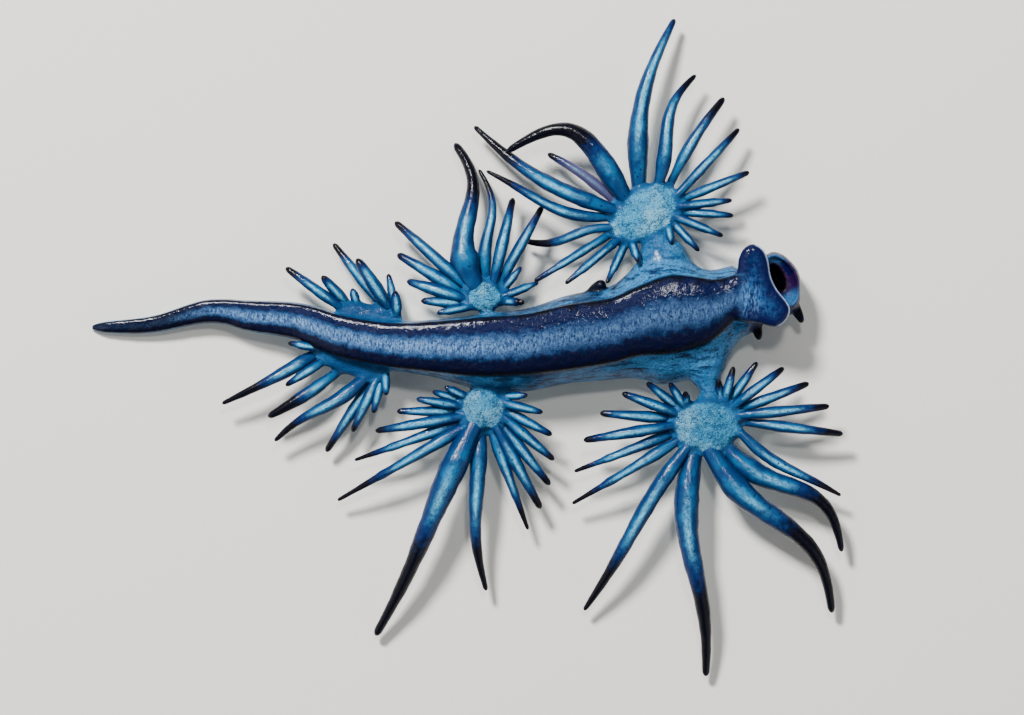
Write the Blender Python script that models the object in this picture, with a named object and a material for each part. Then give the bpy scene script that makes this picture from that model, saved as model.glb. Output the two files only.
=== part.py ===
"""Blue dragon sea slug, Glaucus atlanticus, full grown and life size, lying on its back.

The animal floats foot upwards in life, and lies so here: the blue foot faces up and the back
rests on the floor. +X runs towards the head and the animal's left side is at -Y.
Lengths in the tables are millimetres and angles are degrees, turned from +X towards +Y.
"""

import math
from collections import namedtuple

import bmesh
import bpy
import numpy as np
from mathutils import Vector

MM = 0.001
GAP = 0.3
SOLVER = "EXACT"
# Middle of the whole animal's outline, in the frame that the tables use.
FOOTPRINT_CENTRE = (-2.55, 0.55)

# The body from the tail's tip to the neck. Each station gives its place along the body, the middle
# and the half width of the foot, how far the flank stands out beyond it on each side, and the height.
Station = namedtuple("Station", "along middle foot left right height")
BODY = (
    Station(-23.70, 1.70, 0.10, 0.02, 0.02, 0.30),
    Station(-23.00, 1.70, 0.27, 0.03, 0.03, 0.62),
    Station(-20.20, 1.87, 0.44, 0.04, 0.04, 0.95),
    Station(-17.50, 2.54, 0.60, 0.05, 0.05, 1.30),
    Station(-16.20, 2.58, 0.66, 0.05, 0.05, 1.45),
    Station(-14.90, 2.35, 0.81, 0.05, 0.05, 1.70),
    Station(-12.30, 2.08, 0.97, 0.06, 0.06, 2.20),
    Station(-10.90, 1.64, 1.13, 0.08, 0.08, 2.60),
    Station(-9.60, 1.20, 1.16, 0.12, 0.10, 2.95),
    Station(-7.00, 0.72, 1.22, 0.18, 0.12, 3.45),
    Station(-4.40, 0.60, 1.40, 0.30, 0.12, 3.95),
    Station(-1.60, 0.60, 1.65, 0.82, 0.18, 4.30),
    Station(0.80, 0.74, 1.69, 0.96, 0.32, 4.45),
    Station(3.10, 1.12, 1.81, 0.78, 0.56, 4.50),
    Station(5.50, 1.50, 1.80, 0.95, 0.72, 4.55),
    Station(7.00, 2.02, 1.92, 1.28, 1.00, 4.60),
    Station(8.70, 2.38, 2.17, 1.75, 0.90, 4.60),
    Station(10.40, 2.52, 1.94, 1.40, 0.47, 4.50),
    Station(11.30, 2.72, 1.62, 1.15, 0.58, 4.40),
    Station(12.35, 3.30, 1.25, 1.15, 0.62, 4.25),
)
# Half of a body section, from the middle of the back up to the middle of the foot. Each point gives
# a share of the foot's half width, a share of the flank beyond it, and a share of the height.
SECTION = (
    (0.50, 0.50, 0.00),
    (0.86, 0.86, 0.10),
    (1.00, 1.00, 0.38),
    (1.00, 0.62, 0.66),
    (0.97, 0.12, 0.84),
    (1.00, 0.00, 0.91),
    (0.90, 0.00, 0.96),
    (0.50, 0.00, 0.99),
)
# The middle of the foot, as a share of the height.
SOLE_SHARE = 1.00

# Lengths of the body: name, where each starts and ends, and the number of sections in it.
Length = namedtuple("Length", "name start end sections")
LENGTHS = (
    Length("tail_tip", -23.70, -17.90, 8),
    Length("tail_base", -17.60, -11.70, 8),
    Length("body_rear", -11.40, -4.90, 8),
    Length("body_middle", -4.60, 4.50, 11),
    Length("body_front", 4.80, 12.35, 12),
)

# A ceras: where on the rim of its pad it grows, which way its tip lies, the straight distance to
# the tip, its greatest width, how far it bows to its left, how far it sways, its tip's height
# above the floor and how slowly it narrows. The last two follow the rules below where left out.
Ceras = namedtuple("Ceras", "root heading reach width bow sway tip taper", defaults=(0.0, 0.0, None, None))
# A fan of short cerata: how many, then the first, middle and last value of each of their sizes.
Fan = namedtuple("Fan", "count root heading reach width tip")
# An arm: middle of its pad, half length, half width, half thickness and turn of the pad, its height
# above the floor, the stalk's sections as (x, y, half width, half thickness), and its cerata.
Arm = namedtuple("Arm", "name centre pad turn height stalk single_cerata fans")
ARMS = (
    Arm(
        "arm_front_left", (10.95, -3.82), (1.87, 1.42, 0.85), 0, 2.2,
        ((11.0, 1.2, 1.5, 1.1), (10.85, -0.2, 1.15, 1.0), (10.9, -1.1, 0.8, 0.85),
         (11.05, -1.9, 0.5, 0.7), (11.0, -3.2, 0.9, 0.7)),
        (
            Ceras(233, 238, 10.9, 0.95, -0.10, -0.10, taper=1.8),
            Ceras(247, 273, 12.8, 1.45, -0.40, -0.35),
            Ceras(275, 307, 11.4, 1.45, 0.80, -0.60),
            Ceras(303, 318, 8.8, 1.29, 0.90, -0.60),
            Ceras(345, 328, 6.7, 0.70, -0.30, -0.10, tip=1.6, taper=1.6),
        ),
        (
            Fan(8, (128, 158, 213), (100, 168, 211), (0.8, 3.8, 7.0), (0.50, 0.52, 0.62), (3.2, 2.8, 1.4)),
            Fan(7, (370, 406, 427), (353, 397, 457), (5.8, 3.7, 1.3), (0.62, 0.55, 0.50), (1.8, 2.4, 3.0)),
        ),
    ),
    Arm(
        "arm_front_right", (7.43, 8.13), (2.1, 1.35, 0.85), 37, 2.2,
        ((8.6, 4.1, 1.8, 1.1), (8.45, 5.4, 1.4, 1.0), (8.2, 6.2, 0.95, 0.85),
         (7.95, 6.9, 0.62, 0.75), (7.6, 7.8, 0.9, 0.7)),
        (
            Ceras(162, 188, 5.0, 0.60, 0.20, -0.20, tip=1.0),
            Ceras(140, 160, 7.5, 0.70, 0.60, 0.15, tip=2.9, taper=1.6),
            Ceras(127, 149, 9.2, 0.95, 0.65, 0.00, tip=1.3, taper=1.6),
            Ceras(116, 144, 4.9, 0.65, -0.20, 0.00, tip=1.6),
            Ceras(101, 159, 7.1, 1.34, -2.30, 0.30, tip=2.6),
            Ceras(74, 78, 9.7, 1.23, 0.83, 0.00),
            Ceras(39, 71, 6.4, 0.89, 0.60, -0.20, taper=1.4),
            Ceras(16, 58, 5.8, 0.70, 0.20, 0.00),
            Ceras(346, 47, 5.1, 0.59, 0.00, 0.00, tip=1.6),
            Ceras(333, 22, 4.3, 0.58, 0.00, 0.00, tip=2.2),
        ),
        (
            Fan(4, (221, 203, 173), (286, 230, 212), (1.2, 3.3, 5.2), (0.50, 0.50, 0.53), (3.4, 3.7, 3.4)),
            Fan(5, (321, 303, 287), (7, -22, -80), (3.1, 3.0, 1.3), (0.54, 0.52, 0.50), (1.9, 2.4, 2.8)),
        ),
    ),
    Arm(
        "arm_middle_left", (-1.60, -2.80), (1.15, 1.2, 0.8), 0, 2.3, (),
        (
            Ceras(240, 245, 13.0, 1.57, 0.10, -0.10, taper=0.8),
            Ceras(262, 272, 9.1, 0.98, -0.45, 0.10, taper=1.3),
        ),
        (
            Fan(7, (150, 190, 230), (154, 180, 210), (1.3, 3.7, 8.6), (0.50, 0.63, 0.75), (3.1, 2.6, 1.2)),
            Fan(7, (291, 336, 392), (290, 320, 362), (6.1, 3.8, 1.5), (0.75, 0.66, 0.50), (1.4, 2.2, 3.0)),
        ),
    ),
    Arm(
        "arm_middle_right", (-1.51, 3.38), (0.95, 0.8, 0.8), 0, 2.4, (),
        (
            Ceras(128, 98, 8.1, 1.62, -0.25, 0.53, tip=1.0, taper=0.55),
            Ceras(84, 94, 6.4, 0.81, -0.40, 0.30, tip=1.0),
            Ceras(62, 77, 5.0, 0.73, 0.00, 0.00, tip=1.3),
            Ceras(43, 61, 5.2, 0.67, 0.00, 0.00, tip=1.9),
        ),
        (
            Fan(5, (218, 191, 149), (192, 163, 138), (2.0, 3.6, 5.7), (0.50, 0.78, 0.75), (2.9, 2.2, 1.6)),
            Fan(3, (22, 0, -16), (50, 22, -4), (1.8, 2.2, 1.3), (0.50, 0.50, 0.50), (2.4, 2.2, 3.3)),
        ),
    ),
    Arm(
        "arm_rear_left", (-8.95, -0.2), (1.9, 0.8, 0.6), -16, 1.7, (),
        (
            Ceras(165, 171, 1.9, 0.50, 0.00, 0.00, tip=2.2),
            Ceras(180, 208, 6.2, 0.84, 0.10, 0.00),
            Ceras(215, 213, 2.5, 0.56, 0.00, 0.00, tip=2.2),
            Ceras(252, 213, 4.7, 0.78, 0.10, 0.00),
            Ceras(300, 215, 6.2, 0.89, 0.00, 0.15, tip=1.5),
        ),
        (
            Fan(4, (319, 335, 360), (237, 251, 274), (5.0, 2.8, 1.4), (0.67, 0.62, 0.56), (1.0, 2.0, 2.4)),
        ),
    ),
    Arm(
        "arm_rear_right", (-8.00, 2.4), (1.6, 0.6, 0.6), -7, 1.7, (),
        (
            Ceras(165, 144, 3.9, 0.65),
            Ceras(140, 132, 2.2, 0.70, 0.00, 0.00, tip=2.4),
            Ceras(118, 108, 0.9, 0.55, 0.00, 0.00, tip=2.0),
            Ceras(65, 128, 4.5, 0.64, 0.00, 0.00, tip=1.0),
            Ceras(45, 123, 3.4, 0.84, 0.00, 0.00, tip=2.6),
            Ceras(22, 101, 2.3, 0.56, 0.00, 0.00, tip=1.4),
            Ceras(5, 95, 1.5, 0.67, 0.00, 0.00, tip=2.4),
        ),
        (),
    ),
)
# Shape of a ceras: its root's share of the greatest width, where it is widest, how slowly it narrows
# from there, its tip's share of that width, and the rings and sides of its mesh. One that reaches
# further than LONG_REACH is widest nearer its root. Its core is never thinner than the least width.
Shape = namedtuple("Shape", "root belly taper tip rings sides")
LONG_REACH = 6.0
LONG_CERAS = Shape(0.70, 0.22, 1.0, 0.34, 10, 8)
SHORT_CERAS = Shape(0.66, 0.38, 1.3, 0.42, 5, 6)
LEAST_WIDTH = 0.5
# The last ring before the rounded tip, its share of the width there, and where the core ends.
TIP_RING = 0.97
TIP_ROUNDING = 0.7
CORE_END = 0.75
# The longer a ceras, the lower its tip lies, and it arches on its way. Neighbours grow in two layers.
TIP_HEIGHT = 2.4
TIP_FALL = 0.13
ARCH = 0.07
LAYER = 0.22
# How deep a root is sunk in its pad, at most, and as a share of the way to the pad's middle.
SUNK = 0.9
SUNK_SHARE = 0.6
# Levels of a pad's rings, as shares of its half thickness, with its lowest and its highest point.
PAD_LEVELS = (-0.85, -0.45, 0.0, 0.45, 0.80)
PAD_LOW = -1.0
PAD_HIGH = 0.92
PAD_SIDES = 16
STALK_SIDES = 12
# How far a stalk's closed end reaches on into the pad, as a share of its last stretch.
STALK_END = 0.3
# Sections of the grown body that cuts the arms and the papilla clear.
CUTTER_STEPS = 60

# The head, seen from above: how far along it lies, its two edges, and its underside and top.
HeadSection = namedtuple("HeadSection", "along left right bottom top")
HEAD = (
    HeadSection(12.65, 0.95, 4.95, 0.00, 4.05),
    HeadSection(13.20, 1.35, 5.15, 0.00, 3.70),
    HeadSection(13.90, 1.95, 5.45, 0.00, 3.50),
    HeadSection(14.50, 2.10, 5.90, 0.00, 3.40),
    HeadSection(15.10, 2.20, 5.80, 0.10, 3.30),
    HeadSection(15.60, 2.40, 5.40, 0.35, 3.20),
    HeadSection(15.95, 2.75, 4.95, 0.80, 3.00),
    HeadSection(16.14, 3.30, 4.45, 1.40, 2.60),
)
# Half of a head section, from the middle of its underside round to the top: shares of its half
# width and of its rise.
HEAD_SECTION = (
    (0.00, 0.00),
    (0.60, 0.00),
    (0.90, 0.12),
    (1.00, 0.42),
    (0.95, 0.75),
    (0.72, 0.95),
    (0.35, 1.00),
    (0.00, 1.00),
)
# Its upper side, from the middle outwards.
HEAD_TOP = HEAD_SECTION[:2:-1]
# Rim of the foot's broad front lobe, which overhangs the head.
LOBE_RIM = (
    (12.65, 2.08), (12.65, 4.75), (12.62, 5.50), (12.90, 6.05), (13.40, 6.32), (13.95, 6.05),
    (14.25, 5.45), (14.42, 4.50), (14.75, 3.80), (15.30, 3.10), (15.48, 2.60), (15.20, 1.98),
    (14.60, 1.70), (13.70, 1.92),
)
# Levels of the lobe, each with its share of the rim, and how many points round the rim.
LOBE_LEVELS = ((3.35, 0.80), (3.70, 0.97), (4.00, 1.00), (4.30, 0.93), (4.32, 0.50))
LOBE_POINTS = 28
# A hollow in the head is an egg with a middle, half sizes and a turn, and a lip runs round its edge.
# The oral hood is a shallow bowl, and the mouth opens in its floor.
Hollow = namedtuple("Hollow", "centre size turn lip_half_width")
HOOD = Hollow((15.00, 4.35, 3.30), (0.72, 1.42, 1.00), 25, 0.20)
MOUTH = Hollow((14.88, 4.42, 2.50), (0.36, 0.78, 1.00), 25, 0.18)
HOLLOW_LEVELS = (-0.9, -0.6, -0.2, 0.2, 0.6, 0.9)
HOLLOW_SIDES = 16
# Points along a lip and round it, and how often the search for each point's place halves its step.
LIP_POINTS = 20
LIP_SIDES = 6
LIP_HALVINGS = 20

# Feelers as (x, y, z, half width) from the root to the tip.
FEELERS = {
    "oral_tentacle_left": ((15.6, 3.3, 1.7, 0.30), (15.90, 2.75, 1.8, 0.30), (16.08, 2.35, 1.9, 0.26),
                           (16.21, 2.07, 1.9, 0.12)),
    "oral_tentacle_right": ((14.15, 5.2, 2.1, 0.34), (13.88, 5.75, 2.1, 0.30), (13.72, 6.02, 2.0, 0.25),
                            (13.62, 6.20, 1.9, 0.12)),
    "rhinophore_left": ((13.65, 2.3, 1.5, 0.28), (13.75, 1.60, 1.6, 0.28), (13.80, 1.30, 1.7, 0.25),
                        (13.84, 1.02, 1.8, 0.12)),
    "rhinophore_right": ((13.1, 4.6, 1.5, 0.28), (13.00, 5.45, 1.6, 0.28), (12.95, 5.75, 1.7, 0.25),
                         (12.92, 6.02, 1.8, 0.12)),
    "side_papilla": ((4.3, 3.2, 2.0, 0.45), (4.75, 3.75, 2.3, 0.45), (4.95, 4.05, 2.5, 0.38),
                     (5.05, 4.25, 2.6, 0.15)),
}

FEELER_SIDES = 8

# Edges sharper than this stay sharp in the shading.
SHARP_ANGLE = 50

# Linear red, green and blue of each material, and its roughness.
COLOURS = {
    "foot_blue": ((0.010, 0.030, 0.120), 0.30),
    "cerata_blue": ((0.020, 0.150, 0.380), 0.32),
    "head_navy": ((0.010, 0.014, 0.060), 0.28),
    "feeler_dark": ((0.008, 0.012, 0.040), 0.30),
}


def clear_scene():
    for obj in list(bpy.data.objects):
        bpy.data.objects.remove(obj)


def material(name):
    made = bpy.data.materials.get(name)
    if made:
        return made
    made = bpy.data.materials.new(name)
    made.use_nodes = True
    shader = made.node_tree.nodes["Principled BSDF"]
    colour, roughness = COLOURS[name]
    shader.inputs["Base Color"].default_value = (*colour, 1.0)
    shader.inputs["Roughness"].default_value = roughness
    shader.inputs["Metallic"].default_value = 0.0
    return made


def smooth_row(rows, place, key=0):
    """Every value of a table of rows at one place, on a smooth curve through the rows."""
    places = [row[key] for row in rows]
    last = len(rows) - 2
    i = min(last, max(0, sum(p <= place for p in places) - 1))
    span = places[i + 1] - places[i]
    t = (place - places[i]) / span

    def slope(n, column):
        before = rows[max(0, n - 1)]
        after = rows[min(len(rows) - 1, n + 1)]
        return (after[column] - before[column]) / (after[key] - before[key]) * span

    return [
        (2 * t**3 - 3 * t**2 + 1) * rows[i][c]
        + (t**3 - 2 * t**2 + t) * slope(i, c)
        + (3 * t**2 - 2 * t**3) * rows[i + 1][c]
        + (t**3 - t**2) * slope(i + 1, c)
        for c in range(len(rows[i]))
    ]


def through(keys, share):
    """The value at a share from 0 to 1 on a parabola through first, middle and last."""
    first, middle, last = keys
    return (
        first * (1 - share) * (1 - 2 * share)
        + middle * 4 * share * (1 - share)
        + last * share * (2 * share - 1)
    )


def ramp(share):
    share = min(1.0, max(0.0, share))
    return share * share * (3 - 2 * share)


def new_object(name, points, faces, colour):
    """A mesh object from points in the tables' millimetres."""
    mesh = bpy.data.meshes.new(name)
    x, y = FOOTPRINT_CENTRE
    mesh.from_pydata([((p[0] - x) * MM, (p[1] - y) * MM, p[2] * MM) for p in points], [], faces)
    mesh.materials.append(material(colour))
    bm = bmesh.new()
    bm.from_mesh(mesh)
    bmesh.ops.recalc_face_normals(bm, faces=bm.faces)
    bm.to_mesh(mesh)
    bm.free()
    obj = bpy.data.objects.new(name, mesh)
    bpy.context.scene.collection.objects.link(obj)
    return obj


def loft(name, rings, colour, tip=None, root=None):
    """A closed skin over rings of equally many points, ending in a flat face or a point."""
    points = [p for ring in rings for p in ring]
    around = len(rings[0])
    faces = []
    for n in range(len(rings) - 1):
        for k in range(around):
            a = n * around + k
            b = n * around + (k + 1) % around
            faces.append((a, b, b + around, a + around))
    top = (len(rings) - 1) * around
    if root is None:
        faces.append(tuple(reversed(range(around))))
    else:
        points.append(root)
        faces.extend((len(points) - 1, (k + 1) % around, k) for k in range(around))
    if tip is None:
        faces.append(tuple(range(top, top + around)))
    else:
        points.append(tip)
        faces.extend((len(points) - 1, top + k, top + (k + 1) % around) for k in range(around))
    return new_object(name, points, faces, colour)


def body_ring(along, grow=0.0):
    """One section of the body, as points round it, seen from the tail, starting under the back."""
    _, middle, foot, left, right, height = smooth_row(BODY, along)
    halves = []
    for side, flank in ((1, right), (-1, left)):
        halves.append(
            [
                (middle + side * (a * foot + b * flank + grow), c * height + grow * (2 * c - 1))
                for a, b, c in SECTION
            ]
        )
    ring = [(middle, -grow), *halves[0], (middle, SOLE_SHARE * height + grow)]
    ring += reversed(halves[1])
    return [Vector((along, y, z)) for y, z in ring]


def body_length(length):
    span = length.end - length.start
    steps = length.sections - 1
    rings = [body_ring(length.start + span * n / steps) for n in range(length.sections)]
    return loft(length.name, rings, "foot_blue")


def body_cutter(grow):
    """The whole body, grown outwards, to cut what meets it clear of it."""
    start = BODY[0].along
    end = BODY[-1].along
    rings = [body_ring(start + (end - start) * n / CUTTER_STEPS, grow) for n in range(CUTTER_STEPS + 1)]
    rings.append([point + Vector((GAP, 0, 0)) for point in rings[-1]])
    return loft("body_cutter", rings, "foot_blue")


def tube(name, path, sides, colour):
    """A closed tube along (point, half width, half thickness) rows, ending in a point."""
    rings = []
    for n in range(len(path) - 1):
        point, width, thickness = path[n]
        before = path[max(0, n - 1)][0]
        along = (path[n + 1][0] - before).normalized()
        across = along.cross(Vector((0, 0, 1))).normalized()
        up = across.cross(along)
        ring = []
        for k in range(sides):
            turn = 2 * math.pi * (k + 0.5) / sides
            ring.append(point + across * width * math.cos(turn) + up * thickness * math.sin(turn))
        rings.append(ring[::-1])
    return loft(name, rings, colour, tip=path[-1][0])


def shape_of(row):
    shape = LONG_CERAS if row.reach > LONG_REACH else SHORT_CERAS
    return shape if row.taper is None else shape._replace(taper=row.taper)


def ceras_width(row, share):
    """Width at a share of the length from root to tip, before the tip is rounded."""
    shape = shape_of(row)
    if share < shape.belly:
        part = shape.root + (1 - shape.root) * ramp(share / shape.belly)
    else:
        part = 1 - (1 - shape.tip) * ((share - shape.belly) / (1 - shape.belly)) ** shape.taper
    width = part * row.width
    return max(width, LEAST_WIDTH) if share < CORE_END else width


def rim_point(arm, turn):
    """A point on the rim of an arm's pad."""
    half_length, half_width, _ = arm.pad
    a = math.radians(turn)
    b = math.radians(arm.turn)
    u = half_length * math.cos(a)
    v = half_width * math.sin(a)
    x = arm.centre[0] + u * math.cos(b) - v * math.sin(b)
    y = arm.centre[1] + u * math.sin(b) + v * math.cos(b)
    return Vector((x, y, arm.height))


def ceras(arm, row, number):
    """One ceras: a long spindle, its root sunk in the pad."""
    root = rim_point(arm, row.root) + Vector((0, 0, LAYER * (-1) ** number))
    heading = math.radians(row.heading)
    out = Vector((math.cos(heading), math.sin(heading), 0))
    leftward = Vector((-out.y, out.x, 0))
    tip = TIP_HEIGHT - TIP_FALL * row.reach if row.tip is None else row.tip

    def at(share):
        wave = math.sin(math.pi * share)
        bend = row.bow * wave + row.sway * math.sin(2 * math.pi * share)
        point = root + out * row.reach * share + leftward * bend
        point.z = root.z + (tip - root.z) * share + ARCH * row.reach * wave
        return point

    inward = Vector((*arm.centre, arm.height)) - root
    sunk = min(SUNK, SUNK_SHARE * inward.length)
    start = ceras_width(row, 0) / 2
    path = [(root + inward.normalized() * sunk, start, start)]
    shape = shape_of(row)
    for n in range(shape.rings):
        half = ceras_width(row, n / shape.rings) / 2
        path.append((at(n / shape.rings), half, half))
    half = ceras_width(row, TIP_RING) / 2 * TIP_ROUNDING
    path.append((at(TIP_RING), half, half))
    path.append((at(1.0), 0, 0))
    return tube("ceras", path, shape.sides, "cerata_blue")


def cerata_rows(arm):
    """Every ceras of an arm: the single ones, then those of its fans."""
    rows = list(arm.single_cerata)
    for fan in arm.fans:
        for n in range(fan.count):
            share = n / (fan.count - 1)
            root, heading, reach, width, tip = (through(keys, share) for keys in fan[1:])
            rows.append(Ceras(root, heading, reach, width, tip=tip))
    return rows


def joined(name, pieces, colour):
    """One closed body from closed pieces that overlap."""
    base, *others = pieces
    group = bpy.data.collections.new(name + "_pieces")
    for piece in others:
        group.objects.link(piece)
    union = base.modifiers.new("Union", "BOOLEAN")
    union.operation = "UNION"
    union.solver = SOLVER
    union.operand_type = "COLLECTION"
    union.collection = group
    apply_modifiers(base)
    for piece in others:
        bpy.data.objects.remove(piece)
    bpy.data.collections.remove(group)
    base.name = name
    base.data.name = name
    base.data.materials.clear()
    base.data.materials.append(material(colour))
    return base


def cut(obj, cutter):
    difference = obj.modifiers.new("Cut", "BOOLEAN")
    difference.operation = "DIFFERENCE"
    difference.solver = SOLVER
    difference.object = cutter
    apply_modifiers(obj)


def apply_modifiers(obj):
    bpy.context.view_layer.update()
    graph = bpy.context.evaluated_depsgraph_get()
    mesh = bpy.data.meshes.new_from_object(obj.evaluated_get(graph))
    obj.modifiers.clear()
    obj.data = mesh


def keep_largest(obj):
    """Leaves only the closed surface that holds the most volume, in triangles."""
    bm = bmesh.new()
    bm.from_mesh(obj.data)
    bmesh.ops.triangulate(bm, faces=bm.faces)
    bm.faces.ensure_lookup_table()
    seen = set()
    shells = []
    for face in bm.faces:
        if face in seen:
            continue
        shell = []
        waiting = [face]
        seen.add(face)
        while waiting:
            here = waiting.pop()
            shell.append(here)
            for edge in here.edges:
                for other in edge.link_faces:
                    if other not in seen:
                        seen.add(other)
                        waiting.append(other)
        volume = sum(f.verts[0].co.dot(f.verts[1].co.cross(f.verts[2].co)) for f in shell)
        shells.append((abs(volume), shell))
    shells.sort(key=lambda pair: pair[0])
    for _, shell in shells[:-1]:
        bmesh.ops.delete(bm, geom=shell, context="FACES")
    loose = [v for v in bm.verts if not v.link_faces]
    bmesh.ops.delete(bm, geom=loose, context="VERTS")
    bm.to_mesh(obj.data)
    bm.free()


def pad(arm):
    """The fleshy disc that carries the cerata."""
    centre = Vector((*arm.centre, arm.height))
    up = Vector((0, 0, arm.pad[2]))
    rings = []
    for level in PAD_LEVELS:
        swell = math.sqrt(1 - level * level)
        rim = [rim_point(arm, 360 * k / PAD_SIDES) for k in range(PAD_SIDES)]
        rings.append([centre + (point - centre) * swell + up * level for point in rim])
    return loft("pad", rings, "cerata_blue", tip=centre + up * PAD_HIGH, root=centre + up * PAD_LOW)


def stalk(arm):
    path = [(Vector((x, y, arm.height)), w, t) for x, y, w, t in arm.stalk]
    end = path[-1][0] + (path[-1][0] - path[-2][0]) * STALK_END
    return tube("stalk", [*path, (end, 0, 0)], STALK_SIDES, "cerata_blue")


def arm_node(arm, cutter):
    pieces = [pad(arm)]
    if arm.stalk:
        pieces.append(stalk(arm))
    pieces.extend(ceras(arm, row, number) for number, row in enumerate(cerata_rows(arm)))
    node = joined(arm.name, pieces, "cerata_blue")
    cut(node, cutter)
    keep_largest(node)
    return node


def hollow_place(hollow, turn, share):
    """A place level with a hollow's middle, at a share of the way out to its side."""
    a = math.radians(hollow.turn)
    u = hollow.size[0] * math.cos(turn) * share
    v = hollow.size[1] * math.sin(turn) * share
    x, y, z = hollow.centre
    return Vector((x + u * math.cos(a) - v * math.sin(a), y + u * math.sin(a) + v * math.cos(a), z))


def hollow_cutter(hollow):
    """The egg that hollows the head."""
    centre = Vector(hollow.centre)
    up = Vector((0, 0, hollow.size[2]))
    rings = []
    for level in HOLLOW_LEVELS:
        swell = math.sqrt(1 - level * level)
        turns = [2 * math.pi * k / HOLLOW_SIDES for k in range(HOLLOW_SIDES)]
        rings.append([hollow_place(hollow, turn, swell) + up * level for turn in turns])
    return loft("hollow_cutter", rings, "head_navy", tip=centre + up, root=centre - up)


def hollow_floor(hollow, share):
    """Height of a hollow's floor at a share of the way out to its side."""
    return hollow.centre[2] - hollow.size[2] * math.sqrt(1 - share * share)


def head_top(point):
    """Height of the head's upper side at a place."""
    places = [section.along for section in HEAD]
    left, right, bottom, top = (
        np.interp(point.x, places, [section[c] for section in HEAD]) for c in range(1, 5)
    )
    aside = abs(point.y - (left + right) / 2) / ((right - left) / 2)
    return bottom + np.interp(aside, *zip(*HEAD_TOP)) * (top - bottom)


def hood_floor(point):
    """Height of the hood's floor at a place in it."""
    a = math.radians(HOOD.turn)
    x, y = point.x - HOOD.centre[0], point.y - HOOD.centre[1]
    u = (x * math.cos(a) + y * math.sin(a)) / HOOD.size[0]
    v = (y * math.cos(a) - x * math.sin(a)) / HOOD.size[1]
    return hollow_floor(HOOD, min(1, math.hypot(u, v)))


def lip(hollow, ground):
    """A closed tube round the edge where a hollow's side comes up through the ground."""
    edge = []
    for k in range(LIP_POINTS):
        turn = 2 * math.pi * k / LIP_POINTS
        inner, outer = 0.0, 1.0
        for _ in range(LIP_HALVINGS):
            share = (inner + outer) / 2
            if hollow_floor(hollow, share) < ground(hollow_place(hollow, turn, share)):
                inner = share
            else:
                outer = share
        point = hollow_place(hollow, turn, inner)
        point.z = ground(point)
        edge.append(point)
    rings = []
    for before, point, after in zip([edge[-1], *edge], edge, [*edge[1:], edge[0]]):
        along = (after - before).normalized()
        across = along.cross(Vector((0, 0, 1))).normalized()
        up = across.cross(along)
        turns = [2 * math.pi * k / LIP_SIDES for k in range(LIP_SIDES)]
        ring = [point + (across * math.cos(t) + up * math.sin(t)) * hollow.lip_half_width for t in turns]
        rings.append(ring)
    count = LIP_POINTS * LIP_SIDES
    faces = []
    for n in range(0, count, LIP_SIDES):
        for k in range(LIP_SIDES):
            after = (k + 1) % LIP_SIDES
            step = (n + LIP_SIDES) % count
            faces.append((n + k, n + after, step + after, step + k))
    return new_object("lip", [p for ring in rings for p in ring], faces, "head_navy")


def head_core():
    """The head without the foot's lobe: flat below, rounded at its sides and front."""
    rings = []
    for section in HEAD:
        middle = (section.left + section.right) / 2
        half = (section.right - section.left) / 2
        rise = section.top - section.bottom
        ring = [(middle + a * half, section.bottom + b * rise) for a, b in HEAD_SECTION]
        ring += [(2 * middle - y, z) for y, z in reversed(ring[1:-1])]
        rings.append([Vector((section.along, y, z)) for y, z in ring])
    return loft("head_core", rings, "head_navy")


def closed_curve(points, samples):
    """A smooth closed curve through the points, evenly spread in number between them."""
    count = len(points)
    made = []
    for n in range(samples):
        place = n * count / samples
        i = int(place)
        t = place - i
        p0, p1, p2, p3 = (Vector(points[(i + k) % count]) for k in (-1, 0, 1, 2))
        made.append(
            0.5 * (2 * p1 + (p2 - p0) * t + (2 * p0 - 5 * p1 + 4 * p2 - p3) * t * t
                   + (3 * p1 - p0 - 3 * p2 + p3) * t**3)
        )
    return made


def foot_lobe():
    rim = closed_curve(LOBE_RIM, LOBE_POINTS)
    middle = sum(rim, Vector((0, 0))) / len(rim)
    rings = []
    for level, share in LOBE_LEVELS:
        rings.append([Vector((*(middle + (p - middle) * share), level)) for p in rim])
    return loft("foot_lobe", [ring[::-1] for ring in rings], "head_navy")


def head_node():
    core = head_core()
    for hollow in (HOOD, MOUTH):
        cutter = hollow_cutter(hollow)
        cut(core, cutter)
        bpy.data.objects.remove(cutter)
    lips = [lip(HOOD, head_top), lip(MOUTH, hood_floor)]
    node = joined("head", [core, foot_lobe(), *lips], "head_navy")
    keep_largest(node)
    return node


def feeler_node(name, rows, cutter):
    path = [(Vector((x, y, z)), w, w) for x, y, z, w in rows]
    node = tube(name, path, FEELER_SIDES, "feeler_dark")
    cut(node, cutter)
    keep_largest(node)
    return node


def grown_head():
    """The head core grown by the gap, which cuts the feelers clear of the head."""
    core = head_core()
    bm = bmesh.new()
    bm.from_mesh(core.data)
    for vert in bm.verts:
        vert.co += vert.normal * GAP * MM
    bm.to_mesh(core.data)
    bm.free()
    return core


def main():
    clear_scene()
    for length in LENGTHS:
        keep_largest(body_length(length))
    cutter = body_cutter(GAP)
    for arm in ARMS:
        arm_node(arm, cutter)
    head_node()
    around_head = grown_head()
    for name, rows in FEELERS.items():
        feeler_node(name, rows, cutter if name == "side_papilla" else around_head)
    bpy.data.objects.remove(cutter)
    bpy.data.objects.remove(around_head)
    for obj in bpy.data.objects:
        obj.data.shade_smooth()
        obj.data.set_sharp_from_angle(angle=math.radians(SHARP_ANGLE))


if __name__ == "__main__":
    main()
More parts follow.
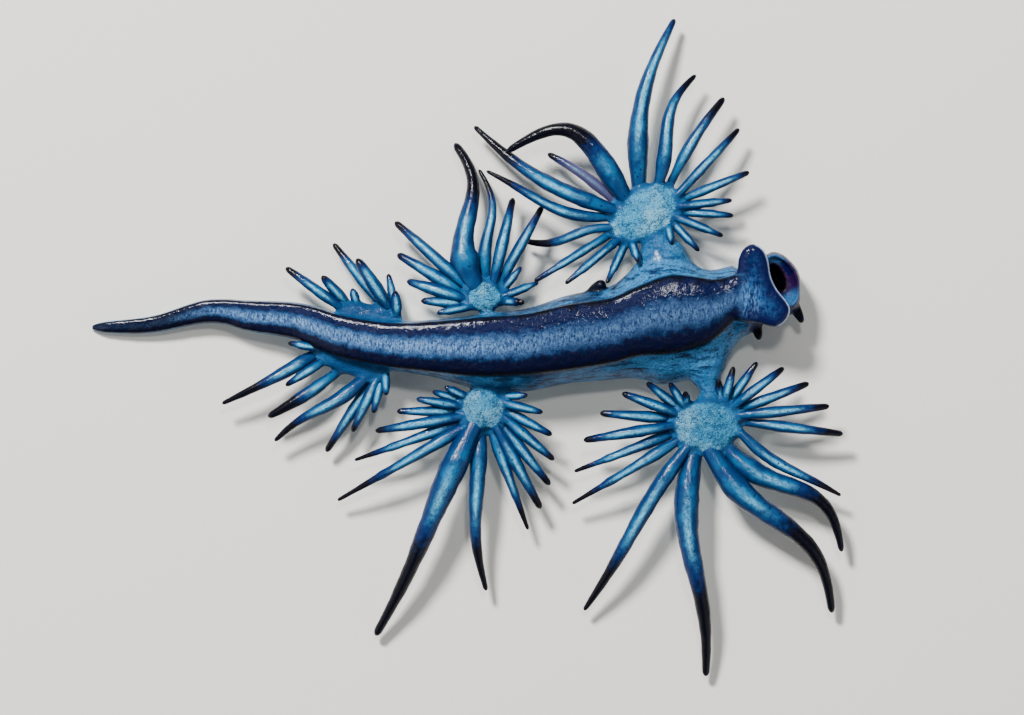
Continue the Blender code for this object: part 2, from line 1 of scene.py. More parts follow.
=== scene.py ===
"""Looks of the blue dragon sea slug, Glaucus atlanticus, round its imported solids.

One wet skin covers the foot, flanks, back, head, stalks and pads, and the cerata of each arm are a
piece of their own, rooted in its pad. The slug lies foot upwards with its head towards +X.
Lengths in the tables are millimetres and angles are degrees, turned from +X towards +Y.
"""

import math
from collections import namedtuple
from functools import partial

import bpy
import numpy as np
from bpy.props import FloatProperty, FloatVectorProperty, IntProperty, PointerProperty
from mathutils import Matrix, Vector


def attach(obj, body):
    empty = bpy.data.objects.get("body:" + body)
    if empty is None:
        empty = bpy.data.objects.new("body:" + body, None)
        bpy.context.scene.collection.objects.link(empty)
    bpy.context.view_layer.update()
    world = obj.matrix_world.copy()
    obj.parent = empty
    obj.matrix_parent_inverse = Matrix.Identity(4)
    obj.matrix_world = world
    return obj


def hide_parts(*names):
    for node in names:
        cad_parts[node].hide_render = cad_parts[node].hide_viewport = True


bl_info = {
    "name": "Blue dragon sea slug",
    "version": (1, 0, 0),
    "blender": (4, 5, 0),
    "location": "3D View > Sidebar > Sea slug",
    "description": "Dresses the solids of a life-size blue dragon sea slug in wet skin",
    "category": "Object",
}

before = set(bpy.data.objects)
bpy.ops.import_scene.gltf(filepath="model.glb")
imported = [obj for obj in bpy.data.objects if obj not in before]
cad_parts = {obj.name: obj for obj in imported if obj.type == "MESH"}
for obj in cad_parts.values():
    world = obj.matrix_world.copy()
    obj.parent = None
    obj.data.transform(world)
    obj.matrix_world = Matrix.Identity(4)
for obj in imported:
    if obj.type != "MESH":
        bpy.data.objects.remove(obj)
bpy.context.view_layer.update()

MM = 0.001
# Middle of the whole animal's outline, in the frame that the tables use.
FOOTPRINT_CENTRE = (-2.55, 0.55)
# The photograph's frame: its width in pixels and the width of one at the animal.
PHOTO_WIDTH = 1024
MM_PER_PIXEL = 0.0559
# Height at which that scale holds: about the middle of the pads.
PAD_LEVEL = 2.5

# The body from the tail's tip to the neck. Each station gives its place along the body, the middle
# and the half width of the foot, how far the flank stands out beyond it on each side, and the height.
Station = namedtuple("Station", "along middle foot left right height")
BODY = (
    Station(-23.70, 1.70, 0.10, 0.02, 0.02, 0.30),
    Station(-23.00, 1.70, 0.27, 0.03, 0.03, 0.62),
    Station(-20.20, 1.87, 0.44, 0.04, 0.04, 0.95),
    Station(-17.50, 2.54, 0.60, 0.05, 0.05, 1.30),
    Station(-16.20, 2.58, 0.66, 0.05, 0.05, 1.45),
    Station(-14.90, 2.35, 0.81, 0.05, 0.05, 1.70),
    Station(-12.30, 2.08, 0.97, 0.06, 0.06, 2.20),
    Station(-10.90, 1.64, 1.13, 0.08, 0.08, 2.60),
    Station(-9.60, 1.20, 1.16, 0.12, 0.10, 2.95),
    Station(-7.00, 0.72, 1.22, 0.18, 0.12, 3.45),
    Station(-4.40, 0.60, 1.40, 0.30, 0.12, 3.95),
    Station(-1.60, 0.60, 1.65, 0.82, 0.18, 4.30),
    Station(0.80, 0.74, 1.69, 0.96, 0.32, 4.45),
    Station(3.10, 1.12, 1.81, 0.78, 0.56, 4.50),
    Station(5.50, 1.50, 1.80, 0.95, 0.72, 4.55),
    Station(7.00, 2.02, 1.92, 1.28, 1.00, 4.60),
    Station(8.70, 2.38, 2.17, 1.75, 0.90, 4.60),
    Station(10.40, 2.52, 1.94, 1.40, 0.47, 4.50),
    Station(11.30, 2.72, 1.62, 1.15, 0.58, 4.40),
    Station(12.35, 3.30, 1.25, 1.15, 0.62, 4.25),
)
# Half of a body section, from the middle of the back up to the middle of the foot. Each point gives
# a share of the foot's half width, a share of the flank beyond it, and a share of the height.
SECTION = (
    (0.00, 0.00, 0.00),
    (0.50, 0.50, 0.00),
    (0.86, 0.86, 0.10),
    (1.00, 1.00, 0.38),
    (1.00, 0.62, 0.66),
    (0.97, 0.12, 0.84),
    (1.00, 0.00, 0.91),
    (0.90, 0.00, 0.96),
    (0.50, 0.00, 0.99),
    (0.00, 0.00, 1.00),
)
# The body runs on into the head, and the head back into the body, each shrinking by this much for
# every millimetre past its own end.
NECK_END = 14.2
NECK_TAPER = 0.6
HEAD_START = 11.8
HEAD_TAPER = 0.8

# A ceras: where on the rim of its pad it grows, which way its tip lies, the straight distance to
# the tip, its greatest width, how far it bows to its left, how far it sways, the share of it that
# is black, its tip's height above the floor and how slowly it narrows.
Ceras = namedtuple("Ceras", "root heading reach width bow sway dark tip taper", defaults=(None, None))
# A fan of short cerata: how many, then the first, middle and last value of each of their sizes.
Fan = namedtuple("Fan", "count root heading reach width tip dark")
# An arm: middle of its pad, half length, half width, half thickness and turn of the pad, its height
# above the floor, the stalk's sections as (x, y, half width, half thickness), and its cerata.
Arm = namedtuple("Arm", "name centre pad turn height stalk single_cerata fans")
ARMS = (
    Arm(
        "front_left", (10.95, -3.82), (1.87, 1.42, 0.85), 0, 2.2,
        ((11.0, 1.2, 1.5, 1.1), (10.85, -0.2, 1.15, 1.0), (10.9, -1.1, 0.8, 0.85),
         (11.05, -1.9, 0.5, 0.7), (11.0, -3.2, 0.9, 0.7)),
        (
            Ceras(233, 238, 10.9, 0.95, -0.10, -0.10, 0.32, taper=1.8),
            Ceras(247, 273, 12.8, 1.45, -0.40, -0.35, 0.42),
            Ceras(275, 307, 11.4, 1.45, 0.80, -0.60, 0.50),
            Ceras(303, 318, 8.8, 1.29, 0.90, -0.60, 0.42),
            Ceras(345, 328, 6.7, 0.70, -0.30, -0.10, 0.25, tip=1.6, taper=1.6),
        ),
        (
            Fan(8, (128, 158, 213), (100, 168, 211), (0.8, 3.8, 7.0), (0.52, 0.66, 0.72),
                (3.2, 2.8, 1.4), (0.20, 0.12, 0.24)),
            Fan(7, (370, 406, 427), (353, 397, 457), (5.8, 3.7, 1.3), (0.67, 0.62, 0.52),
                (1.8, 2.4, 3.0), (0.25, 0.19, 0.30)),
        ),
    ),
    Arm(
        "front_right", (7.43, 8.13), (2.1, 1.35, 0.85), 37, 2.2,
        ((8.6, 4.1, 1.8, 1.1), (8.45, 5.4, 1.4, 1.0), (8.2, 6.2, 0.95, 0.85),
         (7.95, 6.9, 0.62, 0.75), (7.6, 7.8, 0.9, 0.7)),
        (
            Ceras(162, 188, 5.0, 0.60, 0.20, -0.20, 0.35, tip=1.0),
            Ceras(140, 160, 7.5, 0.70, 0.60, 0.15, 0.24, tip=2.9, taper=1.6),
            Ceras(127, 149, 9.2, 0.95, 0.65, 0, 0.34, tip=1.3, taper=1.6),
            Ceras(116, 144, 4.9, 0.65, -0.20, 0, 0.14, tip=1.6),
            Ceras(101, 159, 7.1, 1.34, -2.30, 0.30, 0.60, tip=2.6),
            Ceras(74, 78, 9.7, 1.23, 0.83, 0, 0.03),
            Ceras(39, 71, 6.4, 0.89, 0.60, -0.20, 0.20, taper=1.4),
            Ceras(16, 58, 5.8, 0.70, 0.20, 0, 0.26),
            Ceras(346, 47, 5.1, 0.59, 0, 0, 0.20, tip=1.6),
            Ceras(333, 22, 4.3, 0.58, 0, 0, 0.12, tip=2.2),
        ),
        (
            Fan(4, (221, 203, 173), (286, 230, 212), (1.2, 3.3, 5.2), (0.50, 0.50, 0.53),
                (3.4, 3.7, 3.4), (0.10, 0.11, 0.10)),
            Fan(5, (321, 303, 287), (7, -22, -80), (3.1, 3.0, 1.3), (0.54, 0.52, 0.50),
                (1.9, 2.4, 2.8), (0.12, 0.13, 0.15)),
        ),
    ),
    Arm(
        "middle_left", (-1.60, -2.80), (1.15, 1.2, 0.8), 0, 2.3, (),
        (
            Ceras(240, 245, 13.0, 1.57, 0.10, -0.10, 0.48, taper=0.8),
            Ceras(262, 272, 9.1, 0.98, -0.45, 0.10, 0.33, taper=1.3),
        ),
        (
            Fan(7, (150, 190, 230), (154, 180, 210), (1.3, 3.7, 8.6), (0.50, 0.63, 0.75),
                (3.1, 2.6, 1.2), (0.10, 0.08, 0.30)),
            Fan(7, (291, 336, 392), (290, 320, 362), (6.1, 3.8, 1.5), (0.75, 0.66, 0.50),
                (1.4, 2.2, 3.0), (0.27, 0.14, 0.10)),
        ),
    ),
    Arm(
        "middle_right", (-1.51, 3.38), (0.95, 0.8, 0.8), 0, 2.4, (),
        (
            Ceras(128, 98, 8.1, 1.62, -0.25, 0.53, 0.43, tip=1.0, taper=0.55),
            Ceras(84, 94, 6.4, 0.81, -0.40, 0.30, 0.25, tip=1.0),
            Ceras(62, 77, 5.0, 0.73, 0, 0, 0.16, tip=1.3),
            Ceras(43, 61, 5.2, 0.67, 0, 0, 0.17, tip=1.9),
        ),
        (
            Fan(5, (218, 191, 149), (192, 163, 138), (2.0, 3.6, 5.7), (0.50, 0.78, 0.75),
                (2.9, 2.2, 1.6), (0.10, 0.08, 0.14)),
            Fan(3, (22, 0, -16), (50, 22, -4), (1.8, 2.2, 1.3), (0.50, 0.50, 0.50),
                (2.4, 2.2, 3.3), (0.08, 0.08, 0.30)),
        ),
    ),
    Arm(
        "rear_left", (-8.95, -0.2), (1.9, 0.8, 0.6), -16, 1.7, (),
        (
            Ceras(165, 171, 1.9, 0.50, 0, 0, 0.15, tip=2.2),
            Ceras(180, 208, 6.2, 0.84, 0.10, 0, 0.42),
            Ceras(215, 213, 2.5, 0.56, 0, 0, 0.15, tip=2.2),
            Ceras(252, 213, 4.7, 0.78, 0.10, 0, 0.44),
            Ceras(300, 215, 6.2, 0.89, 0, 0.15, 0.30, tip=1.5),
        ),
        (
            Fan(4, (319, 335, 360), (237, 251, 274), (5.0, 2.8, 1.4), (0.67, 0.62, 0.56),
                (1.0, 2.0, 2.4), (0.20, 0.12, 0.12)),
        ),
    ),
    Arm(
        "rear_right", (-8.00, 2.4), (1.6, 0.6, 0.6), -7, 1.7, (),
        (
            Ceras(165, 144, 3.9, 0.65, 0, 0, 0.21),
            Ceras(140, 132, 2.2, 0.70, 0, 0, 0.12, tip=2.4),
            Ceras(118, 108, 0.9, 0.55, 0, 0, 0.10, tip=2.0),
            Ceras(65, 128, 4.5, 0.64, 0, 0, 0.22, tip=1.0),
            Ceras(45, 123, 3.4, 0.84, 0, 0, 0.12, tip=2.6),
            Ceras(22, 101, 2.3, 0.56, 0, 0, 0.12, tip=1.4),
            Ceras(5, 95, 1.5, 0.67, 0, 0, 0.10, tip=2.4),
        ),
        (),
    ),
)
# Shape of a ceras: its root's share of the greatest width, where it is widest, how slowly it narrows
# from there and its tip's share of that width. One that reaches further than LONG_REACH is widest
# nearer its root. Up to the core's end, as a share of its length, it keeps the least width.
Shape = namedtuple("Shape", "root belly taper tip")
LONG_REACH = 6.0
LONG_CERAS = Shape(0.70, 0.22, 1.0, 0.27)
SHORT_CERAS = Shape(0.66, 0.38, 1.4, 0.48)
LEAST_WIDTH = 0.5
CORE_END = 0.75
# Arms whose pads lie under the body's edge and keep its dark colour.
HIDDEN_PADS = ("rear_left", "rear_right")
# Length of a rounded tip, in half widths and as the most of the whole, and the rings of a ceras.
TIP_LENGTH = 1.6
MOST_TIP = 0.2
TIP_RINGS = 9
STEM_RINGS = 10
STEM_RINGS_PER_MM = 3.2
# The longer a ceras, the lower its tip lies, and it arches on its way. Neighbours grow in two layers.
TIP_HEIGHT = 2.4
TIP_FALL = 0.13
ARCH = 0.07
LAYER = 0.22
# How deep a root is sunk in its pad, at most, and as a share of the way to the pad's middle, and
# what it keeps of its width there.
SUNK = 0.9
SUNK_SHARE = 0.6
SUNK_WIDTH = 0.8
# Slight swellings round a ceras: how strong, how often in a millimetre, and how often round it.
SWELLS = ((0.030, 2.3, 0), (0.018, 5.1, 2), (0.012, 9.0, 3))
# The one ceras that has faded to a violet grey: its arm and its place on the rim.
FADED_CERAS = ("front_right", 116)
# What each tile of the cerata's map leaves free round its ceras.
TILE_MARGIN = 0.04
CERATA_SEED = 7

# The head, seen from above: how far along it lies, its two edges, and its underside and top.
HeadSection = namedtuple("HeadSection", "along left right bottom top")
HEAD = (
    HeadSection(12.65, 0.95, 4.95, 0.00, 4.05),
    HeadSection(13.20, 1.35, 5.15, 0.00, 3.70),
    HeadSection(13.90, 1.95, 5.45, 0.00, 3.50),
    HeadSection(14.50, 2.10, 5.90, 0.00, 3.40),
    HeadSection(15.10, 2.20, 5.80, 0.10, 3.30),
    HeadSection(15.60, 2.40, 5.40, 0.35, 3.20),
    HeadSection(15.95, 2.75, 4.95, 0.80, 3.00),
    HeadSection(16.14, 3.30, 4.45, 1.40, 2.60),
)
# Half of a head section, from the middle of its underside round to the top: shares of its half
# width and of its rise.
HEAD_SECTION = (
    (0.00, 0.00),
    (0.60, 0.00),
    (0.90, 0.12),
    (1.00, 0.42),
    (0.95, 0.75),
    (0.72, 0.95),
    (0.35, 1.00),
    (0.00, 1.00),
)
# Rim of the foot's broad front lobe, which overhangs the head, and its edge's height and thickness.
LOBE_RIM = (
    (11.90, 2.50), (11.90, 4.00), (12.50, 4.75), (12.62, 5.50), (12.90, 6.05), (13.40, 6.32),
    (13.95, 6.05), (14.25, 5.45), (14.42, 4.50), (14.75, 3.80), (15.30, 3.10), (15.48, 2.60),
    (15.20, 1.98), (14.60, 1.70), (13.70, 1.92), (12.65, 2.08),
)
LOBE_MIDDLE = 3.86
LOBE_HALF = 0.46
LOBE_ROUNDING = 0.34
# Where the lobe starts to dip under the sole, and how steeply, and how it droops to its front edge.
LOBE_START = 13.0
LOBE_DIP = 0.22
LOBE_DROOP = 0.05
# A hollow in the head is an egg with a middle, half sizes and a turn, and a lip runs round its edge.
# The oral hood is a shallow bowl, and the mouth opens in its floor.
Hollow = namedtuple("Hollow", "centre size turn lip_half_width")
HOOD = Hollow((15.02, 4.36, 3.30), (0.90, 1.58, 1.10), 25, 0.11)
MOUTH = Hollow((14.84, 4.48, 2.50), (0.40, 0.86, 1.10), 25, 0.12)

# Feelers as (x, y, z, half width) from the root to the tip.
FEELERS = {
    "oral_tentacle_left": ((15.6, 3.3, 1.7, 0.30), (15.90, 2.75, 1.8, 0.30), (16.08, 2.35, 1.9, 0.26),
                           (16.19, 2.12, 1.9, 0.20)),
    "oral_tentacle_right": ((14.15, 5.2, 2.1, 0.34), (13.88, 5.75, 2.1, 0.28), (13.72, 5.98, 2.0, 0.22),
                            (13.66, 6.10, 1.95, 0.12)),
    "rhinophore_left": ((13.65, 2.3, 1.5, 0.28), (13.75, 1.60, 1.6, 0.28), (13.80, 1.30, 1.7, 0.25),
                        (13.83, 1.12, 1.8, 0.16)),
    "rhinophore_right": ((13.1, 4.6, 1.5, 0.28), (13.03, 5.30, 1.6, 0.28), (13.00, 5.55, 1.7, 0.24),
                         (12.98, 5.70, 1.8, 0.15)),
    "side_papilla": ((4.3, 3.2, 2.0, 0.45), (4.75, 3.75, 2.3, 0.45), (4.93, 4.00, 2.5, 0.36),
                     (5.00, 4.12, 2.6, 0.24)),
}

# Grid of the skin: stretches of (start, end, cell) along each axis.
GRID = (
    ((-24.0, 4.0, 0.12), (4.0, 12.2, 0.10), (12.2, 16.7, 0.06)),
    ((-5.6, 9.9, 0.09),),
    ((-0.12, 4.86, 0.09),),
)
FAR = 5.0
TINY = 1e-9
# How softly each form runs into the next.
STALK_BLEND = 0.9
PAD_BLEND = 0.45
ROOT_BLEND = 0.30
NECK_BLEND = 0.45
LOBE_BLEND = 0.30
HOLLOW_BLEND = 0.10
LIP_BLEND = 0.12
FEELER_BLEND = 0.20
# How far a root's stub reaches out of the pad, and its share of the width of the ceras over it.
STUB = 0.35
STUB_WIDTH = 0.96
# A pad is an egg with its top cut flat at this share of its half thickness, with a soft edge.
PAD_TOP = 0.86
PAD_EDGE = 0.3
# How far past a form the grid is filled, over what its blend needs, and the body's own reach.
MARGIN = 0.2
BODY_MARGIN = 1.2
HEAD_BOX = ((HEAD_START - 0.5, 0.0, -1.0), (17.0, 7.2, 5.0))
RELAX_ROUNDS = 2
# Places at which the body's stations are blended, and steps between two points of a section and of
# the lobe's rim.
BODY_COUNT = 721
SECTION_STEPS = 4
RIM_STEPS = 6
# What the skin and the cerata tell their materials about each point.
SKIN_ZONES = (
    "across", "along", "sole", "arm", "rim", "disc", "lobe", "lobe_middle", "speckled", "edge",
    "hood", "mouth", "corner", "head", "feeler", "back",
)
CERAS_ZONES = ("share", "length", "upward", "sideways", "dark_from", "tint", "faded")


def linear(code):
    """An sRGB hex colour as linear red, green and blue, opaque."""
    parts = [int(code[n : n + 2], 16) / 255 for n in (1, 3, 5)]
    return (*(p / 12.92 if p <= 0.04045 else ((p + 0.055) / 1.055) ** 2.4 for p in parts), 1.0)


def smooth_step(value, low, high):
    share = np.clip((value - low) / (high - low), 0.0, 1.0)
    return share * share * (3 - 2 * share)


def smooth_row(rows, place, key=0):
    """Every value of a table of rows at one place, on a smooth curve through the rows."""
    places = [row[key] for row in rows]
    last = len(rows) - 2
    i = min(last, max(0, sum(p <= place for p in places) - 1))
    span = places[i + 1] - places[i]
    t = (place - places[i]) / span

    def slope(n, column):
        before = rows[max(0, n - 1)]
        after = rows[min(len(rows) - 1, n + 1)]
        return (after[column] - before[column]) / (after[key] - before[key]) * span

    return [
        (2 * t**3 - 3 * t**2 + 1) * rows[i][c]
        + (t**3 - 2 * t**2 + t) * slope(i, c)
        + (3 * t**2 - 2 * t**3) * rows[i + 1][c]
        + (t**3 - t**2) * slope(i + 1, c)
        for c in range(len(rows[i]))
    ]


def through(keys, share):
    """The value at a share from 0 to 1 on a parabola through first, middle and last."""
    first, middle, last = keys
    return (
        first * (1 - share) * (1 - 2 * share)
        + middle * 4 * share * (1 - share)
        + last * share * (2 * share - 1)
    )


def closed_curve(points, steps):
    """A smooth closed curve through the points, with so many steps between two of them."""
    points = np.array(points, float)
    p0, p1, p2, p3 = (np.roll(points, -k, axis=0)[:, None] for k in (-1, 0, 1, 2))
    t = (np.arange(steps) / steps)[None, :, None]
    made = 0.5 * (2 * p1 + (p2 - p0) * t + (2 * p0 - 5 * p1 + 4 * p2 - p3) * t**2
                  + (3 * p1 - p0 - 3 * p2 + p3) * t**3)
    return made.reshape(-1, 2)


# Distances that shape the skin.

BODY_PLACES = np.linspace(BODY[0].along, BODY[-1].along, BODY_COUNT)
BODY_VALUES = np.array([smooth_row(BODY, place) for place in BODY_PLACES])
LOBE_OUTLINE = closed_curve(LOBE_RIM, RIM_STEPS)


def body_at(x):
    """Middle, foot, left, right and height of the body at places along it."""
    return [np.interp(x, BODY_PLACES, BODY_VALUES[:, c]) for c in range(1, 6)]


def body_section(x):
    middle, foot, left, right, height = body_at(x)
    sides = {side: [(middle + side * (a * foot + b * flank), c * height) for a, b, c in SECTION]
             for side, flank in ((1, right), (-1, left))}
    return closed_curve([*sides[1], *reversed(sides[-1][1:-1])], SECTION_STEPS)


def head_section(x):
    _, left, right, bottom, top = smooth_row(HEAD, x)
    middle = (left + right) / 2
    half = (right - left) / 2
    side = [(middle + a * half, bottom + b * (top - bottom)) for a, b in HEAD_SECTION]
    other = [(2 * middle - y, z) for y, z in reversed(side[1:-1])]
    return closed_curve([*side, *other], SECTION_STEPS)


def outline_distance(outline, y, z):
    """Signed distance of points to a closed outline, less than zero inside."""
    nearest = np.full(y.shape, np.inf)
    inside = np.zeros(y.shape, bool)
    for (ay, az), (by, bz) in zip(outline, np.roll(outline, -1, axis=0)):
        ey, ez = by - ay, bz - az
        t = np.clip(((y - ay) * ey + (z - az) * ez) / (ey * ey + ez * ez + TINY), 0, 1)
        nearest = np.minimum(nearest, (y - ay - t * ey) ** 2 + (z - az - t * ez) ** 2)
        if az != bz:
            inside ^= ((az > z) != (bz > z)) & (y < ay + (z - az) / (bz - az) * ey)
    return np.where(inside, -1, 1) * np.sqrt(nearest)


def smooth_least(a, b, blend):
    near = np.maximum(blend - np.abs(a - b), 0)
    return np.minimum(a, b) - near * near / (4 * blend)


def smooth_most(a, b, blend):
    return -smooth_least(-a, -b, blend)


def egg_distance(offsets, sizes):
    """Distance to an egg of these half sizes, near enough by its surface."""
    near = np.sqrt(sum((o / s) ** 2 for o, s in zip(offsets, sizes)))
    steep = np.sqrt(sum((o / s**2) ** 2 for o, s in zip(offsets, sizes))) + TINY
    return near * (near - 1) / steep


def turned(x, y, centre, turn):
    """Offsets from a centre along and across a direction."""
    a = math.radians(turn)
    dx, dy = x - centre[0], y - centre[1]
    return dx * math.cos(a) + dy * math.sin(a), dy * math.cos(a) - dx * math.sin(a)


def tube_distance(rows, x, y, z):
    """Distance to a tube along (x, y, z, half width, half thickness) rows."""
    best = np.full(np.broadcast(x, y, z).shape, FAR)
    for a, b in zip(rows, rows[1:]):
        e = [b[c] - a[c] for c in range(3)]
        t = sum(e[c] * (p - a[c]) for c, p in enumerate((x, y, z))) / (sum(v * v for v in e) + TINY)
        t = np.clip(t, 0, 1)
        width = a[3] + t * (b[3] - a[3])
        thickness = a[4] + t * (b[4] - a[4])
        flat = (x - a[0] - t * e[0]) ** 2 + (y - a[1] - t * e[1]) ** 2
        rise = (z - a[2] - t * e[2]) ** 2
        near = np.sqrt(flat / width**2 + rise / thickness**2)
        best = np.minimum(best, (near - 1) * np.minimum(width, thickness))
    return best


def pad_distance(arm, x, y, z):
    u, v = turned(x, y, arm.centre, arm.turn)
    egg = egg_distance((u, v, z - arm.height), arm.pad)
    return smooth_most(egg, z - arm.height - PAD_TOP * arm.pad[2], PAD_EDGE)


def hollow_distance(hollow, x, y, z):
    u, v = turned(x, y, hollow.centre, hollow.turn)
    return egg_distance((u, v, z - hollow.centre[2]), hollow.size)


def lobe_middle(x):
    """Height of the lobe's middle layer."""
    ahead = x - LOBE_START
    return LOBE_MIDDLE - LOBE_DROOP * np.maximum(ahead, 0) - LOBE_DIP * np.maximum(-ahead, 0)


def round_feeler(rows):
    return [(*row, row[3]) for row in rows]


def shape_of(row):
    shape = LONG_CERAS if row.reach > LONG_REACH else SHORT_CERAS
    return shape if row.taper is None else shape._replace(taper=row.taper)


def ceras_width(row, share):
    """Width at shares of the length from root to tip, before the tip is rounded."""
    shape = shape_of(row)
    swelling = shape.root + (1 - shape.root) * smooth_step(share / shape.belly, 0, 1)
    past = np.clip((share - shape.belly) / (1 - shape.belly), 0, 1)
    narrowing = 1 - (1 - shape.tip) * past**shape.taper
    width = np.where(share < shape.belly, swelling, narrowing) * row.width
    core = smooth_step(share, CORE_END + 0.1, CORE_END - 0.1)
    return np.maximum(width, LEAST_WIDTH * core)


def rim_point(arm, turn):
    """A point on the rim of an arm's pad."""
    a, b = math.radians(turn), math.radians(arm.turn)
    u, v = arm.pad[0] * math.cos(a), arm.pad[1] * math.sin(a)
    x = arm.centre[0] + u * math.cos(b) - v * math.sin(b)
    y = arm.centre[1] + u * math.sin(b) + v * math.cos(b)
    return np.array((x, y, arm.height))


def cerata_rows(arm):
    """Every ceras of an arm: the single ones, then those of its fans."""
    rows = list(arm.single_cerata)
    for fan in arm.fans:
        for n in range(fan.count):
            values = [through(keys, n / (fan.count - 1)) for keys in fan[1:]]
            root, heading, reach, width, tip, dark = values
            rows.append(Ceras(root, heading, reach, width, 0.0, 0.0, dark, tip))
    return rows


def ceras_points(arm, row, number, shares):
    """Places along the middle of a ceras, at shares of its length from the pad's rim."""
    root = rim_point(arm, row.root) + (0, 0, LAYER * (-1) ** number)
    heading = math.radians(row.heading)
    out = np.array((math.cos(heading), math.sin(heading), 0))
    leftward = np.array((-out[1], out[0], 0))
    tip = TIP_HEIGHT - TIP_FALL * row.reach if row.tip is None else row.tip
    wave = np.sin(math.pi * shares)
    bend = row.bow * wave + row.sway * np.sin(2 * math.pi * shares)
    points = root + np.outer(shares * row.reach, out) + np.outer(bend, leftward)
    points[:, 2] = root[2] + (tip - root[2]) * shares + ARCH * row.reach * wave
    return points


def sunk_root(arm, row, number):
    """Where the root of a ceras ends inside its pad."""
    rim = ceras_points(arm, row, number, np.zeros(1))[0]
    inward = np.array((*arm.centre, arm.height)) - rim
    length = np.linalg.norm(inward)
    return rim + inward / length * min(SUNK, SUNK_SHARE * length)


# The skin's grid and its surface.


def graded(stretches):
    """Places along one axis of the grid."""
    places = [np.arange(start, end - cell / 2, cell) for start, end, cell in stretches]
    return np.concatenate([*places, [stretches[-1][1]]])


def block(axes, low, high):
    """The part of the grid inside a box: its slices, and its places as arrays that broadcast."""
    parts = tuple(slice(*np.searchsorted(axis, ends)) for axis, ends in zip(axes, zip(low, high)))
    return parts, np.ix_(*(axis[part] for axis, part in zip(axes, parts)))


def tube_box(rows, margin):
    rows = np.array(rows)
    reach = rows[:, 3:].max() + margin
    return rows[:, :3].min(axis=0) - reach, rows[:, :3].max(axis=0) + reach


def join_tube(values, axes, rows, blend):
    parts, places = block(axes, *tube_box(rows, blend + MARGIN))
    values[parts] = smooth_least(values[parts], tube_distance(rows, *places), blend)


def fill_body(values, axes):
    xs, ys, zs = axes
    y, z = np.meshgrid(ys, zs, indexing="ij")
    for i, x in enumerate(xs):
        if BODY[0].along <= x <= NECK_END:
            section = body_section(x)
            low, high = section[:, 0].min() - BODY_MARGIN, section[:, 0].max() + BODY_MARGIN
            near = (ys > low) & (ys < high)
            distance = outline_distance(section, y[near], z[near])
            values[i, near] = distance + NECK_TAPER * max(0, x - BODY[-1].along)


def fill_arms(values, axes):
    for arm in ARMS:
        if arm.stalk:
            rows = [(x, y, arm.height, width, thickness) for x, y, width, thickness in arm.stalk]
            join_tube(values, axes, rows, STALK_BLEND)
        reach = max(arm.pad) + PAD_BLEND + MARGIN
        centre = np.array((*arm.centre, arm.height))
        parts, places = block(axes, centre - reach, centre + reach)
        values[parts] = smooth_least(values[parts], pad_distance(arm, *places), PAD_BLEND)
        for number, row in enumerate(cerata_rows(arm)):
            half = STUB_WIDTH * ceras_width(row, np.zeros(1))[0] / 2
            out = ceras_points(arm, row, number, np.array([0.0, STUB / row.reach]))
            path = [(*point, half, half) for point in (sunk_root(arm, row, number), *out)]
            join_tube(values, axes, path, ROOT_BLEND)


def fill_head(values, axes):
    parts, (x, y, z) = block(axes, *HEAD_BOX)
    xs, ys, zs = (axis[part] for axis, part in zip(axes, parts))
    plane_y, plane_z = np.meshgrid(ys, zs, indexing="ij")
    hood = np.full((len(xs), len(ys), len(zs)), FAR)
    for i, place in enumerate(xs):
        if HEAD_START <= place <= HEAD[-1].along:
            section = head_section(max(place, HEAD[0].along))
            shrunk = HEAD_TAPER * max(0, HEAD[1].along - place)
            hood[i] = outline_distance(section, plane_y, plane_z) + shrunk
    for hollow in (HOOD, MOUTH):
        empty = hollow_distance(hollow, x, y, z)
        lip = np.sqrt(hood**2 + empty**2) - hollow.lip_half_width
        hood = smooth_most(hood, -empty, HOLLOW_BLEND)
        hood = smooth_least(hood, lip, LIP_BLEND)
    flat = outline_distance(LOBE_OUTLINE, *np.meshgrid(xs, ys, indexing="ij"))
    side = flat[:, :, None] + LOBE_ROUNDING
    rise = np.abs(z - lobe_middle(x)) - LOBE_HALF + LOBE_ROUNDING
    lobe = np.hypot(np.maximum(side, 0), np.maximum(rise, 0)) + np.minimum(np.maximum(side, rise), 0)
    lobe -= LOBE_ROUNDING
    whole = smooth_least(values[parts], hood, NECK_BLEND)
    values[parts] = smooth_least(whole, lobe, LOBE_BLEND)


def fill_feelers(values, axes):
    for rows in FEELERS.values():
        join_tube(values, axes, round_feeler(rows), FEELER_BLEND)


